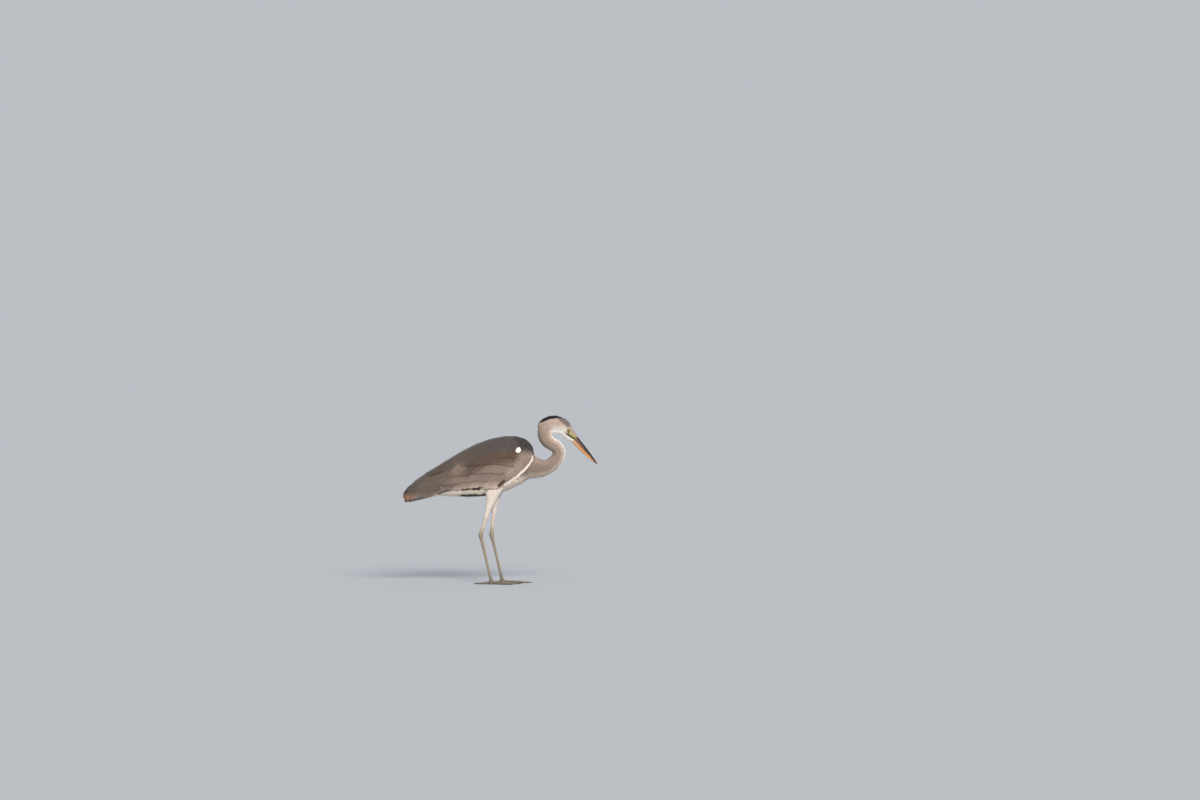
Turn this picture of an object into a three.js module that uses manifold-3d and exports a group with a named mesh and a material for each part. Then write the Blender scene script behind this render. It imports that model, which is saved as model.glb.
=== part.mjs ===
// A grey heron at life size, in millimetres, standing still on both feet with its neck drawn into an S and its bill
// pointed down. +X is forward, +Y is the bird's left and +Z is up. The origin is on the floor, midway between the
// bill's tip and the tail's tip. Each part is a loft through a few stations, and the parts are separated by thin cuts.
import * as THREE from "three";
import { mergeVertices } from "three/addons/utils/BufferGeometryUtils.js";
import Module from "manifold-3d";

const wasm = await Module();
wasm.setup();

// ---- Driving dimensions ----

const GAP = 0.36; // between neighbouring parts
const LEFT = 1;
const RIGHT = -1;

const BILL_BASE = { x: 243, z: 471 }; // where the feathers of the face end
const BILL_TIP = { x: 316.5, z: 388 };
const EYE = { x: 223, y: 10.8, z: 499, radius: 6.2 };

const TIBIA = 205; // knee to ankle
const TARSUS_FOOT_Z = 9; // height of the shank's lower end, in the ball of the foot
const HIP_Y = 28; // half the distance between the thighs
const FOOT_Y = 35; // half the distance between the feet
// The right leg leans back and the left one stands more upright, half a pace ahead.
const LEGS = [
  { name: "right", side: RIGHT, ankle: { x: -63, z: 160 }, lean: 16.2, footX: -28 },
  { name: "left", side: LEFT, ankle: { x: -28, z: 158 }, lean: 5.6, footX: 7 },
];
const FEATHERED_SHARE = 0.32; // how far above the ankle the thigh's feathers end, as a share of the tibia

const TOE_RADIUS = 4.1;
// Angles are from straight ahead, positive towards the other foot. Lengths don't count the claw.
const TOES = [
  { name: "inner", angle: 27, length: 62, claw: 11 },
  { name: "middle", angle: 2, length: 84, claw: 13 },
  { name: "outer", angle: -29, length: 70, claw: 10 },
  { name: "hind", angle: 174, length: 42, claw: 17 },
];

const NECK_CUTS = [0, 2.35, 3.75, 4.75, 6.1, 9]; // where the neck is divided, as station numbers
const NECK_NAMES = ["neck_base", "neck_lower", "neck_bend", "neck_middle", "neck_upper"];
const WING_TIP_X = -206; // behind this the folded wing is flight feathers alone

// ---- Stations. Trunk and wing sections stand upright: x, top, bottom, half width ----

const TRUNK = [
  [112, 434, 353, 28],
  [84, 465, 334, 42],
  [40, 480.5, 310, 53],
  [-20, 473.5, 289, 56],
  [-80, 451, 281.5, 52],
  [-140, 419, 283, 42],
  [-190, 382, 285.5, 31],
  [-226, 348, 290, 19],
];
const WING = [
  [111, 436, 396, 28],
  [102, 453, 381, 37],
  [82, 472, 359, 49],
  [40, 482, 322, 63],
  [-20, 475, 307, 68],
  [-80, 454, 304, 64],
  [-140, 424, 299, 56],
  [-190, 392, 290, 47.5],
  [-240, 362, 283, 38],
  [-285, 330, 280, 28],
  [-317.2, 297, 283, 17],
];
const TAIL = [
  [-160, 330, 296, 20],
  [-210, 318, 284, 25],
  [-250, 303, 275.5, 29],
  [-290, 287, 266.5, 32],
  [-312, 280, 265, 33],
];
// The neck and head bend, so their sections are square to their own line: x, z, above it, below it, half width
const NECK = [
  [60, 396, 40, 44, 32],
  [105, 380, 35, 41, 28],
  [143, 376.5, 26.5, 28.5, 23],
  [172, 390, 23, 23, 20.5],
  [191.5, 419, 21.2, 21.2, 19],
  [187, 443, 20.6, 20.6, 18.5],
  [167, 455, 20.8, 20.8, 18.5],
  [150, 471, 22.5, 22, 19],
  [146, 494, 24.5, 24, 19.5],
  [156, 516, 22, 22, 17],
];
const HEAD = [
  [121, 511, 9, 9, 8],
  [141, 514, 22, 22, 15],
  [165, 518, 28, 30, 18.5],
  [190, 514, 31.5, 28, 19],
  [212, 499, 27, 21, 17.2],
  [231, 482.5, 17.3, 19, 13],
  [BILL_BASE.x, BILL_BASE.z, 12.9, 15.6, 9.9],
];
// Along the bill's own line: share of its length, above it, below it, half width
const BILL = [
  [0, 12.1, 14.6, 9.3],
  [0.22, 10.7, 13, 7.9],
  [0.42, 9.3, 11.1, 6.5],
  [0.65, 7.1, 8.2, 4.8],
  [0.83, 4.8, 5, 3.2],
  [0.95, 2.4, 2.2, 1.7],
  [1, 0.8, 0.6, 0.6],
];
const CREST = [
  [186, 545.5, 1.2, 3, 8],
  [160, 543.5, 1.8, 4, 10],
  [142, 534.5, 1.8, 3.6, 6.5],
  [127, 524.5, 0.9, 1.2, 1.2],
];
// Along the thigh and shank: share of the tibia above the ankle, half depth, half width
const THIGH = [
  [0.95, 34, 17],
  [0.76, 26.5, 16],
  [0.6, 17.5, 13],
  [0.45, 10.8, 9.6],
  [FEATHERED_SHARE, 7.2, 7],
];
const SHIN = [
  [FEATHERED_SHARE, 5.4, 4.9],
  [0.18, 4.9, 4.4],
  [0.07, 5.8, 5.2],
  [0, 7.4, 6.6],
  [-0.024, 6.8, 6.2],
];
// Along the shank, from ankle to toes: share of its length, half depth, half width
const TARSUS = [
  [0, 7.4, 6.6],
  [0.09, 5.9, 5.4],
  [0.22, 4.4, 3.9],
  [0.6, 4.1, 3.6],
  [0.88, 4.8, 4.2],
  [1, 5.6, 5],
];

// ---- Shape tools ----

// A smooth curve through rows of numbers: t runs from 0 to the last row's number.
function along(rows, t) {
  const last = rows.length - 1;
  const i = Math.min(Math.floor(t), last - 1);
  const u = t - i;
  const [a, b, c, d] = [-1, 0, 1, 2].map((k) => rows[Math.min(Math.max(i + k, 0), last)]);
  return b.map((_, k) => {
    const before = i === 0 ? 2 * b[k] - c[k] : a[k];
    const after = i === last - 1 ? 2 * c[k] - b[k] : d[k];
    const [p, q, r] = [2 * before - 5 * b[k] + 4 * c[k] - after, c[k] - before, 3 * (b[k] - c[k]) + after - before];
    return b[k] + 0.5 * u * (q + u * (p + u * r));
  });
}

// Places along a loft from 0 to 1, closer together in its rounded ends.
function places(steps, roundStart, roundEnd, inEnd) {
  const found = [];
  for (let k = 0; roundStart && k < inEnd; k++) found.push(roundStart * (1 - Math.cos((k / inEnd) * (Math.PI / 2))));
  for (let k = 0; k <= steps; k++) found.push(roundStart + (k / steps) * (1 - roundStart - roundEnd));
  for (let k = inEnd - 1; roundEnd && k >= 0; k--) {
    found.push(1 - roundEnd * (1 - Math.cos((k / inEnd) * (Math.PI / 2))));
  }
  return found;
}

// How much a rounded end narrows the loft at a place from 0 to 1.
function narrowing(place, roundStart, roundEnd) {
  const near = Math.min(roundStart ? place / roundStart : 1, roundEnd ? (1 - place) / roundEnd : 1, 1);
  return Math.sqrt(Math.max(0, 1 - (1 - near) ** 2));
}

const power = (value, exponent) => Math.sign(value) * Math.abs(value) ** exponent;

// A closed loft. Each row is [x, y, z, above, below, half width]. Its sections are square to its line, or upright.
function loft(rows, options) {
  const { sides = 20, steps = 12, from = 0, to = rows.length - 1, roundStart = 0, roundEnd = 0, inEnd = 3 } = options;
  const { upright = false, sideways = new THREE.Vector3(0, 1, 0), squareBelow = 1 } = options;
  const points = [];
  const rings = [];
  const step = 1e-3;
  for (const place of places(steps, roundStart, roundEnd, inEnd)) {
    const t = from + place * (to - from);
    const [x, y, z, above, below, half] = along(rows, t);
    const ahead = along(rows, Math.min(t + step, rows.length - 1));
    const behind = along(rows, Math.max(t - step, 0));
    const line = new THREE.Vector3(...[0, 1, 2].map((k) => ahead[k] - behind[k])).normalize();
    if (upright) line.set(Math.sign(line.x), 0, 0);
    const across = sideways.clone().addScaledVector(line, -sideways.dot(line)).normalize();
    const up = new THREE.Vector3().crossVectors(line, across);
    const share = narrowing(place, roundStart, roundEnd);
    const centre = new THREE.Vector3(x, y, z);
    if (share < 1e-6) {
      rings.push([points.push(centre) - 1]);
      continue;
    }
    const ring = [];
    for (let k = 0; k < sides; k++) {
      const angle = (k / sides) * 2 * Math.PI;
      const [c, s] = [Math.cos(angle), Math.sin(angle)];
      const width = half * share * (s < 0 ? power(c, squareBelow) : c);
      const height = (s < 0 ? below : above) * share * s;
      ring.push(points.push(centre.clone().addScaledVector(across, width).addScaledVector(up, height)) - 1);
    }
    rings.push(ring);
  }
  return closed(points, rings);
}

// Joins rings of point numbers into a closed geometry that faces out. A ring of one point is a pole.
function closed(points, rings) {
  const faces = [];
  for (const [ring, flip] of [[rings[0], false], [rings.at(-1), true]]) {
    if (ring.length === 1) continue;
    const middle = points.push(ring.reduce((sum, k) => sum.add(points[k]), new THREE.Vector3()).divideScalar(ring.length));
    ring.forEach((k, i) => {
      const next = ring[(i + 1) % ring.length];
      faces.push(flip ? [middle - 1, k, next] : [middle - 1, next, k]);
    });
  }
  for (let r = 1; r < rings.length; r++) {
    const [a, b] = [rings[r - 1], rings[r]];
    const n = Math.max(a.length, b.length);
    for (let k = 0; k < n; k++) {
      const next = (k + 1) % n;
      if (b.length > 1) faces.push([a[k % a.length], b[next], b[k]]);
      if (a.length > 1) faces.push([a[k], a[next], b[next % b.length]]);
    }
  }
  const geometry = new THREE.BufferGeometry();
  geometry.setAttribute("position", new THREE.Float32BufferAttribute(points.flatMap((p) => p.toArray()), 3));
  geometry.setIndex(faces.flat());
  return geometry;
}

// A manifold-3d solid of a closed geometry, turned to face out if its loft ran backwards.
function solid(geometry) {
  const bare = new THREE.BufferGeometry().setAttribute("position", geometry.getAttribute("position"));
  bare.setIndex(geometry.index);
  const merged = mergeVertices(bare, 1e-3);
  const mesh = { numProp: 3, vertProperties: merged.attributes.position.array, triVerts: new Uint32Array(merged.index.array) };
  const made = new wasm.Manifold(new wasm.Mesh(mesh));
  if (made.volume() > 0) return made;
  for (let i = 0; i < mesh.triVerts.length; i += 3) mesh.triVerts.subarray(i, i + 3).reverse();
  return new wasm.Manifold(new wasm.Mesh(mesh));
}

// The same shape with its surface moved outwards, which cuts a neighbour so that a gap is left.
function grown(geometry, by = GAP) {
  const made = solid(geometry).getMesh();
  const bigger = new THREE.BufferGeometry();
  bigger.setAttribute("position", new THREE.Float32BufferAttribute(made.vertProperties, 3));
  bigger.setIndex(new THREE.BufferAttribute(made.triVerts, 1));
  bigger.computeVertexNormals();
  const [place, normal] = [bigger.attributes.position, bigger.attributes.normal];
  for (let k = 0; k < place.count; k++) {
    const at = new THREE.Vector3().fromBufferAttribute(place, k);
    place.setXYZ(k, ...at.addScaledVector(new THREE.Vector3().fromBufferAttribute(normal, k), by).toArray());
  }
  return solid(bigger);
}

// The shape less its neighbours, as one body: crumbs that a cut leaves are dropped.
function cut(shape, ...neighbours) {
  const left = neighbours.reduce((rest, neighbour) => rest.subtract(neighbour), shape);
  return left.decompose().sort((a, b) => b.volume() - a.volume())[0];
}

// A box that cuts, from one corner to the opposite one.
function block(low, high) {
  const size = high.map((value, k) => value - low[k]);
  const box = new THREE.BoxGeometry(...size);
  box.translate(...low.map((value, k) => value + size[k] / 2));
  return solid(box);
}

function geometryOf(shape) {
  const made = shape.getMesh();
  const geometry = new THREE.BufferGeometry();
  geometry.setAttribute("position", new THREE.Float32BufferAttribute(made.vertProperties, 3));
  geometry.setIndex(new THREE.BufferAttribute(made.triVerts, 1));
  geometry.computeVertexNormals();
  return geometry;
}

// ---- Materials ----

function finish(colour, roughness) {
  return new THREE.MeshStandardMaterial({ color: colour, roughness, metalness: 0 });
}

const PLUMAGE = {
  back: finish(0x6f665f, 0.85),
  wing: finish(0x8b7d72, 0.85),
  flight: finish(0x4a4644, 0.7),
  neck: finish(0xa8978b, 0.85),
  head: finish(0xc9bcae, 0.85),
  crest: finish(0x25262a, 0.7),
  thigh: finish(0xe6dacd, 0.9),
};
const SKIN = finish(0x8c8160, 0.6);
const UPPER_HORN = finish(0x4b4038, 0.4);
const LOWER_HORN = finish(0xc9924f, 0.4);
const CLAW_HORN = finish(0x2e2a26, 0.45);
const EYEBALL = finish(0xd8c04a, 0.1);

const heron = new THREE.Group();

function add(name, shape, material) {
  const mesh = new THREE.Mesh(geometryOf(shape), material);
  mesh.name = name;
  heron.add(mesh);
}

// ---- Trunk, wings and tail ----

const uprightRows = (rows) => rows.map(([x, top, bottom, half]) => {
  const middle = (top + bottom) / 2;
  return [x, 0, middle, top - middle, middle - bottom, half];
});

const trunkLoft = loft(uprightRows(TRUNK), { sides: 20, steps: 9, roundStart: 0.14, roundEnd: 0.1, upright: true });
const trunk = solid(trunkLoft);
const trunkCutter = grown(trunkLoft);
add("trunk", trunk, PLUMAGE.back);

// Both folded wings are one pod round the trunk, split down the middle.
const wingPod = loft(uprightRows(WING), {
  sides: 24, steps: 12, roundStart: 0.05, roundEnd: 0.06, upright: true, squareBelow: 0.55,
});
const wingPodCutter = grown(wingPod);
const REACH = 1000; // beyond every part
for (const [name, side] of [["left", LEFT], ["right", RIGHT]]) {
  const [near, far] = [side * (GAP / 2), side * REACH].sort((a, b) => a - b);
  const half = solid(wingPod).intersect(block([-REACH, near, 0], [REACH, far, REACH]));
  const shell = cut(half, trunkCutter);
  const arm = shell.intersect(block([WING_TIP_X + GAP / 2, near, 0], [REACH, far, REACH]));
  const tip = shell.intersect(block([-REACH, near, 0], [WING_TIP_X - GAP / 2, far, REACH]));
  add(`wing_${name}`, cut(arm), PLUMAGE.wing);
  add(`wing_tip_${name}`, cut(tip), PLUMAGE.flight);
}

const tailLoft = loft(uprightRows(TAIL), { sides: 16, steps: 5, roundEnd: 0.06, inEnd: 2, upright: true });
add("tail", cut(solid(tailLoft), trunkCutter, wingPodCutter), PLUMAGE.flight);

// ---- Neck and head ----

const bentRows = (rows) => rows.map(([x, z, above, below, half]) => [x, 0, z, above, below, half]);

const headLoft = loft(bentRows(HEAD), { sides: 20, steps: 8, roundStart: 0.09 });
const headCutter = grown(headLoft);

// The crest lies along the crown and leaves it behind the nape.
const crestLoft = loft(bentRows(CREST), { sides: 8, steps: 6, roundStart: 0.12, inEnd: 2 });

const neckRows = bentRows(NECK);
const sectionsPerStation = 2.2;
NECK_NAMES.forEach((name, k) => {
  const [start, end] = [NECK_CUTS[k], NECK_CUTS[k + 1]];
  const pace = (t) => new THREE.Vector3(...along(neckRows, t)).distanceTo(new THREE.Vector3(...along(neckRows, t + 0.01)));
  const inset = (t) => (GAP / 2 / pace(t)) * 0.01;
  const length = loft(neckRows, {
    sides: 18,
    steps: Math.round((end - start) * sectionsPerStation),
    from: k === 0 ? start : start + inset(start),
    to: k === NECK_NAMES.length - 1 ? end : end - inset(end),
  });
  add(name, cut(solid(length), trunkCutter, headCutter, wingPodCutter, grown(crestLoft)), PLUMAGE.neck);
});

const eyes = [LEFT, RIGHT].map((side) => {
  const ball = new THREE.SphereGeometry(EYE.radius, 12, 8);
  ball.rotateX(Math.PI / 2);
  ball.translate(EYE.x, side * EYE.y, EYE.z);
  return ball;
});
add("head", cut(solid(headLoft), ...eyes.map((ball) => grown(ball))), PLUMAGE.head);
add("eye_left", solid(eyes[0]), EYEBALL);
add("eye_right", solid(eyes[1]), EYEBALL);
add("crest", cut(solid(crestLoft), headCutter), PLUMAGE.crest);

// ---- Bill: both halves are lofts along one line, flat where they meet at the mouth ----

const billLine = new THREE.Vector3(BILL_TIP.x - BILL_BASE.x, 0, BILL_TIP.z - BILL_BASE.z);
const billUp = new THREE.Vector3(-billLine.z, 0, billLine.x).normalize();
const billStart = new THREE.Vector3(BILL_BASE.x, 0, BILL_BASE.z).addScaledVector(billLine.clone().normalize(), GAP);

function mandible(upper) {
  const rows = BILL.map(([share, above, below, half]) => {
    const at = billStart.clone().addScaledVector(billLine, share).addScaledVector(billUp, (upper ? 1 : -1) * (GAP / 2));
    return [...at.toArray(), upper ? above : 0, upper ? 0 : below, half];
  });
  return cut(solid(loft(rows, { sides: 12, steps: 8, roundEnd: 0.03, inEnd: 2 })), headCutter);
}

add("bill_upper", mandible(true), UPPER_HORN);
add("bill_lower", mandible(false), LOWER_HORN);

// ---- Legs and feet ----

// A toe or claw runs level from the foot's joint. What would go below the floor is pressed flat on it.
function onFloor(geometry) {
  const place = geometry.attributes.position;
  for (let k = 0; k < place.count; k++) place.setZ(k, Math.max(0, place.getZ(k)));
  return geometry;
}

function addFoot(leg, ball, ballCutter) {
  const taken = [ballCutter];
  for (const toe of TOES) {
    const angle = THREE.MathUtils.degToRad(-leg.side * toe.angle);
    const ahead = new THREE.Vector3(Math.cos(angle), Math.sin(angle), 0);
    const across = new THREE.Vector3(-ahead.y, ahead.x, 0);
    // Distance from the joint, height of the toe's line, its half depth and half width.
    const row = (out, height, deep, wide = deep) => [
      ball.x + ahead.x * out, ball.y + ahead.y * out, height, deep, deep, wide,
    ];
    const r = TOE_RADIUS;
    const l = toe.length;
    const rows = [
      row(2, r + 2.6, r + 0.6),
      row(0.2 * l, 0.88 * r, r),
      row(0.42 * l, 0.76 * r, 0.9 * r, 0.86 * r),
      row(0.62 * l, 0.74 * r, 0.9 * r),
      row(0.82 * l, 0.6 * r, 0.74 * r, 0.7 * r),
      row(l, 0.52 * r, 0.62 * r, 0.6 * r),
    ];
    const toeLoft = onFloor(loft(rows, { sides: 10, steps: 5, sideways: across }));
    const c = toe.claw;
    const clawRows = [
      row(l + 2 * GAP, 2.2, 1.9, 1.7),
      row(l + 0.35 * c, 2.9, 1.6, 1.3),
      row(l + 0.72 * c, 2.4, 1.1, 0.9),
      row(l + c, 0.4, 0.5, 0.45),
    ];
    const clawLoft = onFloor(loft(clawRows, { sides: 8, steps: 3, sideways: across }));
    const toeName = `toe_${toe.name}_${leg.name}`;
    add(toeName, cut(solid(toeLoft), ...taken), SKIN);
    add(`claw_${toe.name}_${leg.name}`, solid(clawLoft), CLAW_HORN);
    taken.push(grown(toeLoft));
  }
}

for (const leg of LEGS) {
  const lean = THREE.MathUtils.degToRad(leg.lean);
  const hip = leg.side * HIP_Y;
  const ankleY = leg.side * (HIP_Y + 3);
  const tibiaPoint = (share) => [
    leg.ankle.x + Math.sin(lean) * TIBIA * share,
    ankleY + (hip - ankleY) * share,
    leg.ankle.z + Math.cos(lean) * TIBIA * share,
  ];
  const rowsOf = (stations) => stations.map(([share, depth, half]) => [...tibiaPoint(share), depth, depth, half]);
  const thighLoft = loft(rowsOf(THIGH), { sides: 16, steps: 6 });
  add(`thigh_${leg.name}`, cut(solid(thighLoft), trunkCutter, wingPodCutter), PLUMAGE.thigh);

  const shinRows = rowsOf(SHIN).map((row) => [...row.slice(0, 2), row[2] - GAP, ...row.slice(3)]);
  const shinLoft = loft(shinRows, { sides: 12, steps: 4, roundEnd: 0.07, inEnd: 2 });
  add(`shin_${leg.name}`, solid(shinLoft), SKIN);

  const foot = new THREE.Vector3(leg.footX, leg.side * FOOT_Y, TARSUS_FOOT_Z);
  const ankle = new THREE.Vector3(leg.ankle.x, ankleY, leg.ankle.z - 2 * GAP);
  const tarsusRows = TARSUS.map(([share, depth, half]) => [...ankle.clone().lerp(foot, share).toArray(), depth, depth, half]);
  const tarsusLoft = loft(tarsusRows, { sides: 10, steps: 4, roundStart: 0.03, roundEnd: 0.04, inEnd: 2 });

  // The ball of the foot, a flat-soled knuckle that carries the shank and that the toes spread from.
  const ballRows = [
    [foot.x - 1, foot.y, 0, 8, 8, 7],
    [foot.x - 1, foot.y, 6, 8.6, 8.6, 7.6],
    [foot.x - 1, foot.y, 15, 6, 6, 5.4],
  ];
  const ballLoft = loft(ballRows, { sides: 12, steps: 2, roundEnd: 0.3, inEnd: 2 });
  add(`tarsus_${leg.name}`, cut(solid(tarsusLoft), grown(shinLoft), grown(ballLoft)), SKIN);
  add(`foot_${leg.name}`, solid(ballLoft), SKIN);
  addFoot(leg, foot, grown(ballLoft).add(grown(tarsusLoft)));
}

export default heron;
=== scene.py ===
"""A grey heron at life size, built as a museum figure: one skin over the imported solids, with eyes, bill and
claws set into it, and some ten thousand feathers laid over it as thin solid vanes. Sizes are in millimetres
where a name says mm and in metres elsewhere. +X is forward, +Y is the bird's left and +Z is up."""

import itertools
import math

import bmesh
import bpy
import numpy as np
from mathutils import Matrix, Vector
from mathutils.bvhtree import BVHTree


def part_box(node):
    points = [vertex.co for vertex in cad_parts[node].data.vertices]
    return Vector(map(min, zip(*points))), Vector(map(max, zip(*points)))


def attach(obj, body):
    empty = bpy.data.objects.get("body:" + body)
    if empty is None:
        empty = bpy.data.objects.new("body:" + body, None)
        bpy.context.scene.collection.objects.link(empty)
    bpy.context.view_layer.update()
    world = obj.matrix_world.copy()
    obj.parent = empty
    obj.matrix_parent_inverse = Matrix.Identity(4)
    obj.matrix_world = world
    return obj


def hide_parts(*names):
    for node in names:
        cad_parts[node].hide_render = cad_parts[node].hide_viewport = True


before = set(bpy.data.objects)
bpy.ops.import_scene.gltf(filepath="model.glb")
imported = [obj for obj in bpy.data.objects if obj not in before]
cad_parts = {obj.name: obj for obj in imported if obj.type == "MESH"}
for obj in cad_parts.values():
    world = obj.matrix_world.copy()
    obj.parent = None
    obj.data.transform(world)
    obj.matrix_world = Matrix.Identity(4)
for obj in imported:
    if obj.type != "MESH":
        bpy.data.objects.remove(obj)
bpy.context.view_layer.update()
MM = 0.001

# ---- Viewpoint ----
# A long lens looks at the bird's right side from three degrees above level. The bird stands left of the
# middle of the picture and fills a sixth of its width.
PICTURE_WIDTH = 3900 * MM  # what the picture takes in at the bird's distance
LOOK_DOWN = math.radians(3.0)
LENS_MM = 500.0
SENSOR_MM = 36.0
AIM = Vector((0.325, 0.0, 0.598))

bpy.ops.object.select_all(action="DESELECT")
distance = PICTURE_WIDTH * LENS_MM / SENSOR_MM
eye_point = AIM + distance * Vector((0, -math.cos(LOOK_DOWN), math.sin(LOOK_DOWN)))
bpy.ops.object.camera_add(location=eye_point, rotation=(math.pi / 2 - LOOK_DOWN, 0, 0))
camera = bpy.context.active_object
camera.name = "viewpoint"
camera.data.lens = LENS_MM
camera.data.sensor_width = SENSOR_MM
camera.data.clip_start = 1.0
camera.data.clip_end = 1000.0  # the lens stands 54 m away
bpy.context.scene.camera = camera

# ---- Body form ----
# The flesh is modelled in three castings: the body with its folded wings, the finely worked head, and the
# bare legs. Each is a copy of its solids, swelled until they run together, and made one closed surface with
# the joins smoothed.
SIDES = {"left": 1, "right": -1}
NECK = ["neck_base", "neck_lower", "neck_bend", "neck_middle", "neck_upper"]
TOES = ["toe_inner", "toe_middle", "toe_outer", "toe_hind"]
SWELL = 0.35 * MM


def both(*parts):
    return [f"{part}_{side}" for part in parts for side in SIDES]


BODY = ["trunk", "tail"] + NECK + both("wing", "wing_tip", "thigh")
LEGS = both("shin", "tarsus", "foot", *TOES)


def pick(piece=None):
    """Selects one piece, or nothing."""
    bpy.ops.object.select_all(action="DESELECT")
    if piece:
        piece.select_set(True)
        bpy.context.view_layer.objects.active = piece


def shaped(piece, kind, **settings):
    """Works one modifier into a piece."""
    pick(piece)
    step = piece.modifiers.new(kind.lower(), kind)
    for setting, value in settings.items():
        setattr(step, setting, value)
    bpy.ops.object.modifier_apply(modifier=step.name)
    return piece


def cast(name, nodes, swell=SWELL):
    """Copies of CAD nodes as one new piece, with the loose triangles merged."""
    pick()
    for node in nodes:
        twin = bpy.data.objects.new(name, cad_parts[node].data.copy())
        twin.data.materials.clear()
        bpy.context.collection.objects.link(twin)
        twin.select_set(True)
        bpy.context.view_layer.objects.active = twin
    bpy.ops.object.join()
    piece = bpy.context.active_object
    piece.name = name
    bpy.ops.object.mode_set(mode="EDIT")
    bpy.ops.mesh.select_all(action="SELECT")
    bpy.ops.mesh.remove_doubles(threshold=0.002 * MM)
    bpy.ops.object.mode_set(mode="OBJECT")
    if piece.data.has_custom_normals:
        bpy.ops.mesh.customdata_custom_splitnormals_clear()
    if swell:
        shaped(piece, "DISPLACE", strength=swell, mid_level=0.0)
    return piece


def read(rows, name, kind=float, width=3):
    """One value of every row of a mesh's data, as an array."""
    found = np.empty(len(rows) * width, dtype=kind)
    rows.foreach_get(name, found)
    return found.reshape(-1, width)


def points_of(piece):
    return read(piece.data.vertices, "co")


def move_points(piece, places):
    piece.data.vertices.foreach_set("co", np.ascontiguousarray(places, dtype=np.float32).ravel())
    piece.data.update()


def unit(vectors):
    return vectors / np.maximum(np.linalg.norm(vectors, axis=-1, keepdims=True), 1e-12)


def step_between(value, low, high):
    """0 below low, 1 above high, and a smooth rise between them."""
    t = np.clip((value - low) / (high - low), 0, 1)
    return t * t * (3 - 2 * t)


def run_together(piece, voxel_mm, rounds):
    """Makes a casting one closed surface, and smooths its joins a number of times."""
    shaped(piece, "REMESH", mode="VOXEL", voxel_size=voxel_mm * MM)
    return shaped(piece, "SMOOTH", factor=0.5, iterations=rounds)


def add_ball(piece, **ball):
    """Joins a ball to a casting."""
    pick()
    bpy.ops.mesh.primitive_uv_sphere_add(**ball)
    bpy.ops.object.transform_apply(location=True, rotation=True, scale=True)
    piece.select_set(True)
    bpy.context.view_layer.objects.active = piece
    bpy.ops.object.join()


body_form = run_together(cast("body_form", BODY), 3.2, 9)

# A low brow over each eye is worked into the head before it is made one surface.
EYE_MM = {side: (223.0, turn * 10.8, 499.0) for side, turn in SIDES.items()}
BROW_MM = (222.0, 13.2, 506.0)
BROW_SIZE_MM = (8.5, 2.6, 2.2)
BROW_LEAN = math.radians(32)
head_form = cast("head_form", ["head", "neck_upper"])
for turn in SIDES.values():
    add_ball(
        head_form,
        segments=24,
        ring_count=16,
        radius=1.0,
        location=(BROW_MM[0] * MM, turn * BROW_MM[1] * MM, BROW_MM[2] * MM),
        rotation=(0, BROW_LEAN, 0),
        scale=[size * MM for size in BROW_SIZE_MM],
    )
run_together(head_form, 0.85, 5)
# The face narrows a little more to meet the bill without a step.
BILL_BASE_MM = np.array([243.0, 0.0, 471.0])
BILL_WAY = unit(np.array([73.5, 0.0, -83.0]))
NARROWED_MM = 1.5
places = points_of(head_form)
behind_bill = (BILL_BASE_MM - places / MM) @ BILL_WAY
off_axis = places - (BILL_BASE_MM - behind_bill[:, None] * BILL_WAY) * MM
places -= unit(off_axis) * (NARROWED_MM * MM * (1 - step_between(behind_bill, -1, 10)))[:, None]
# The nape runs straight down into the neck.
NAPE_X_MM, NAPE_Z_MM = 120, 512
NAPE_INSET_MM = 1.3
from_nape = np.hypot(places[:, 0] / MM - NAPE_X_MM, places[:, 2] / MM - NAPE_Z_MM)
places[:, 0] += NAPE_INSET_MM * MM * (1 - step_between(from_nape, 2, 10))
move_points(head_form, places)


def middle_line(node):
    """The two ends of a long node's middle line."""
    places = points_of(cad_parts[node])
    middle = places.mean(0)
    way = np.linalg.svd(places - middle, full_matrices=False)[2][0]
    along = (places - middle) @ way
    return middle + way * along.min(), middle + way * along.max()


# Each toe ends in a round pad, which the root of its claw is set into.
PAD_MM = 2.7
leg_form = cast("leg_form", LEGS)
for node in (f"{toe}_{side}" for toe in TOES for side in SIDES):
    claw_middle = points_of(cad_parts[node.replace("toe", "claw")]).mean(0)
    tip, root = sorted(middle_line(node), key=lambda end: np.linalg.norm(end - claw_middle))
    pad = tip + (root - tip) / np.linalg.norm(root - tip) * 0.9 * MM
    pad[2] = max(pad[2], PAD_MM * 0.9 * MM)
    add_ball(leg_form, segments=20, ring_count=12, radius=PAD_MM * MM, location=pad)
pick(leg_form)
# The bare shins run up into the thighs, so that the leg has no end under its feathers.
bpy.ops.object.mode_set(mode="EDIT")
bpy.ops.mesh.select_all(action="DESELECT")
shaft = bmesh.from_edit_mesh(leg_form.data)
shin_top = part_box("shin_right")[1].z
for vertex in shaft.verts:
    vertex.select = vertex.co.z > shin_top - 2 * MM  # only the ends of the two shins
shaft.select_flush(True)
bmesh.update_edit_mesh(leg_form.data)
bpy.ops.transform.translate(value=(3 * MM, 0, 14 * MM))
bpy.ops.object.mode_set(mode="OBJECT")
run_together(leg_form, 0.8, 4)

# ---- Whole form ----
# The castings are run together into the outside of the whole bird. Feathers are laid on this form, and
# every point of the bird is named after the solid nearest to it. Nothing of the form itself is kept.
def twin_of(piece):
    twin = bpy.data.objects.new("whole_form", piece.data.copy())
    bpy.context.collection.objects.link(twin)
    return twin


def united(piece, *others):
    """Runs closed pieces into one, as triangles."""
    for other in others:
        shaped(piece, "BOOLEAN", operation="UNION", object=other, solver="MANIFOLD")
        bpy.data.objects.remove(other)
    return shaped(piece, "TRIANGULATE")


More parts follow.
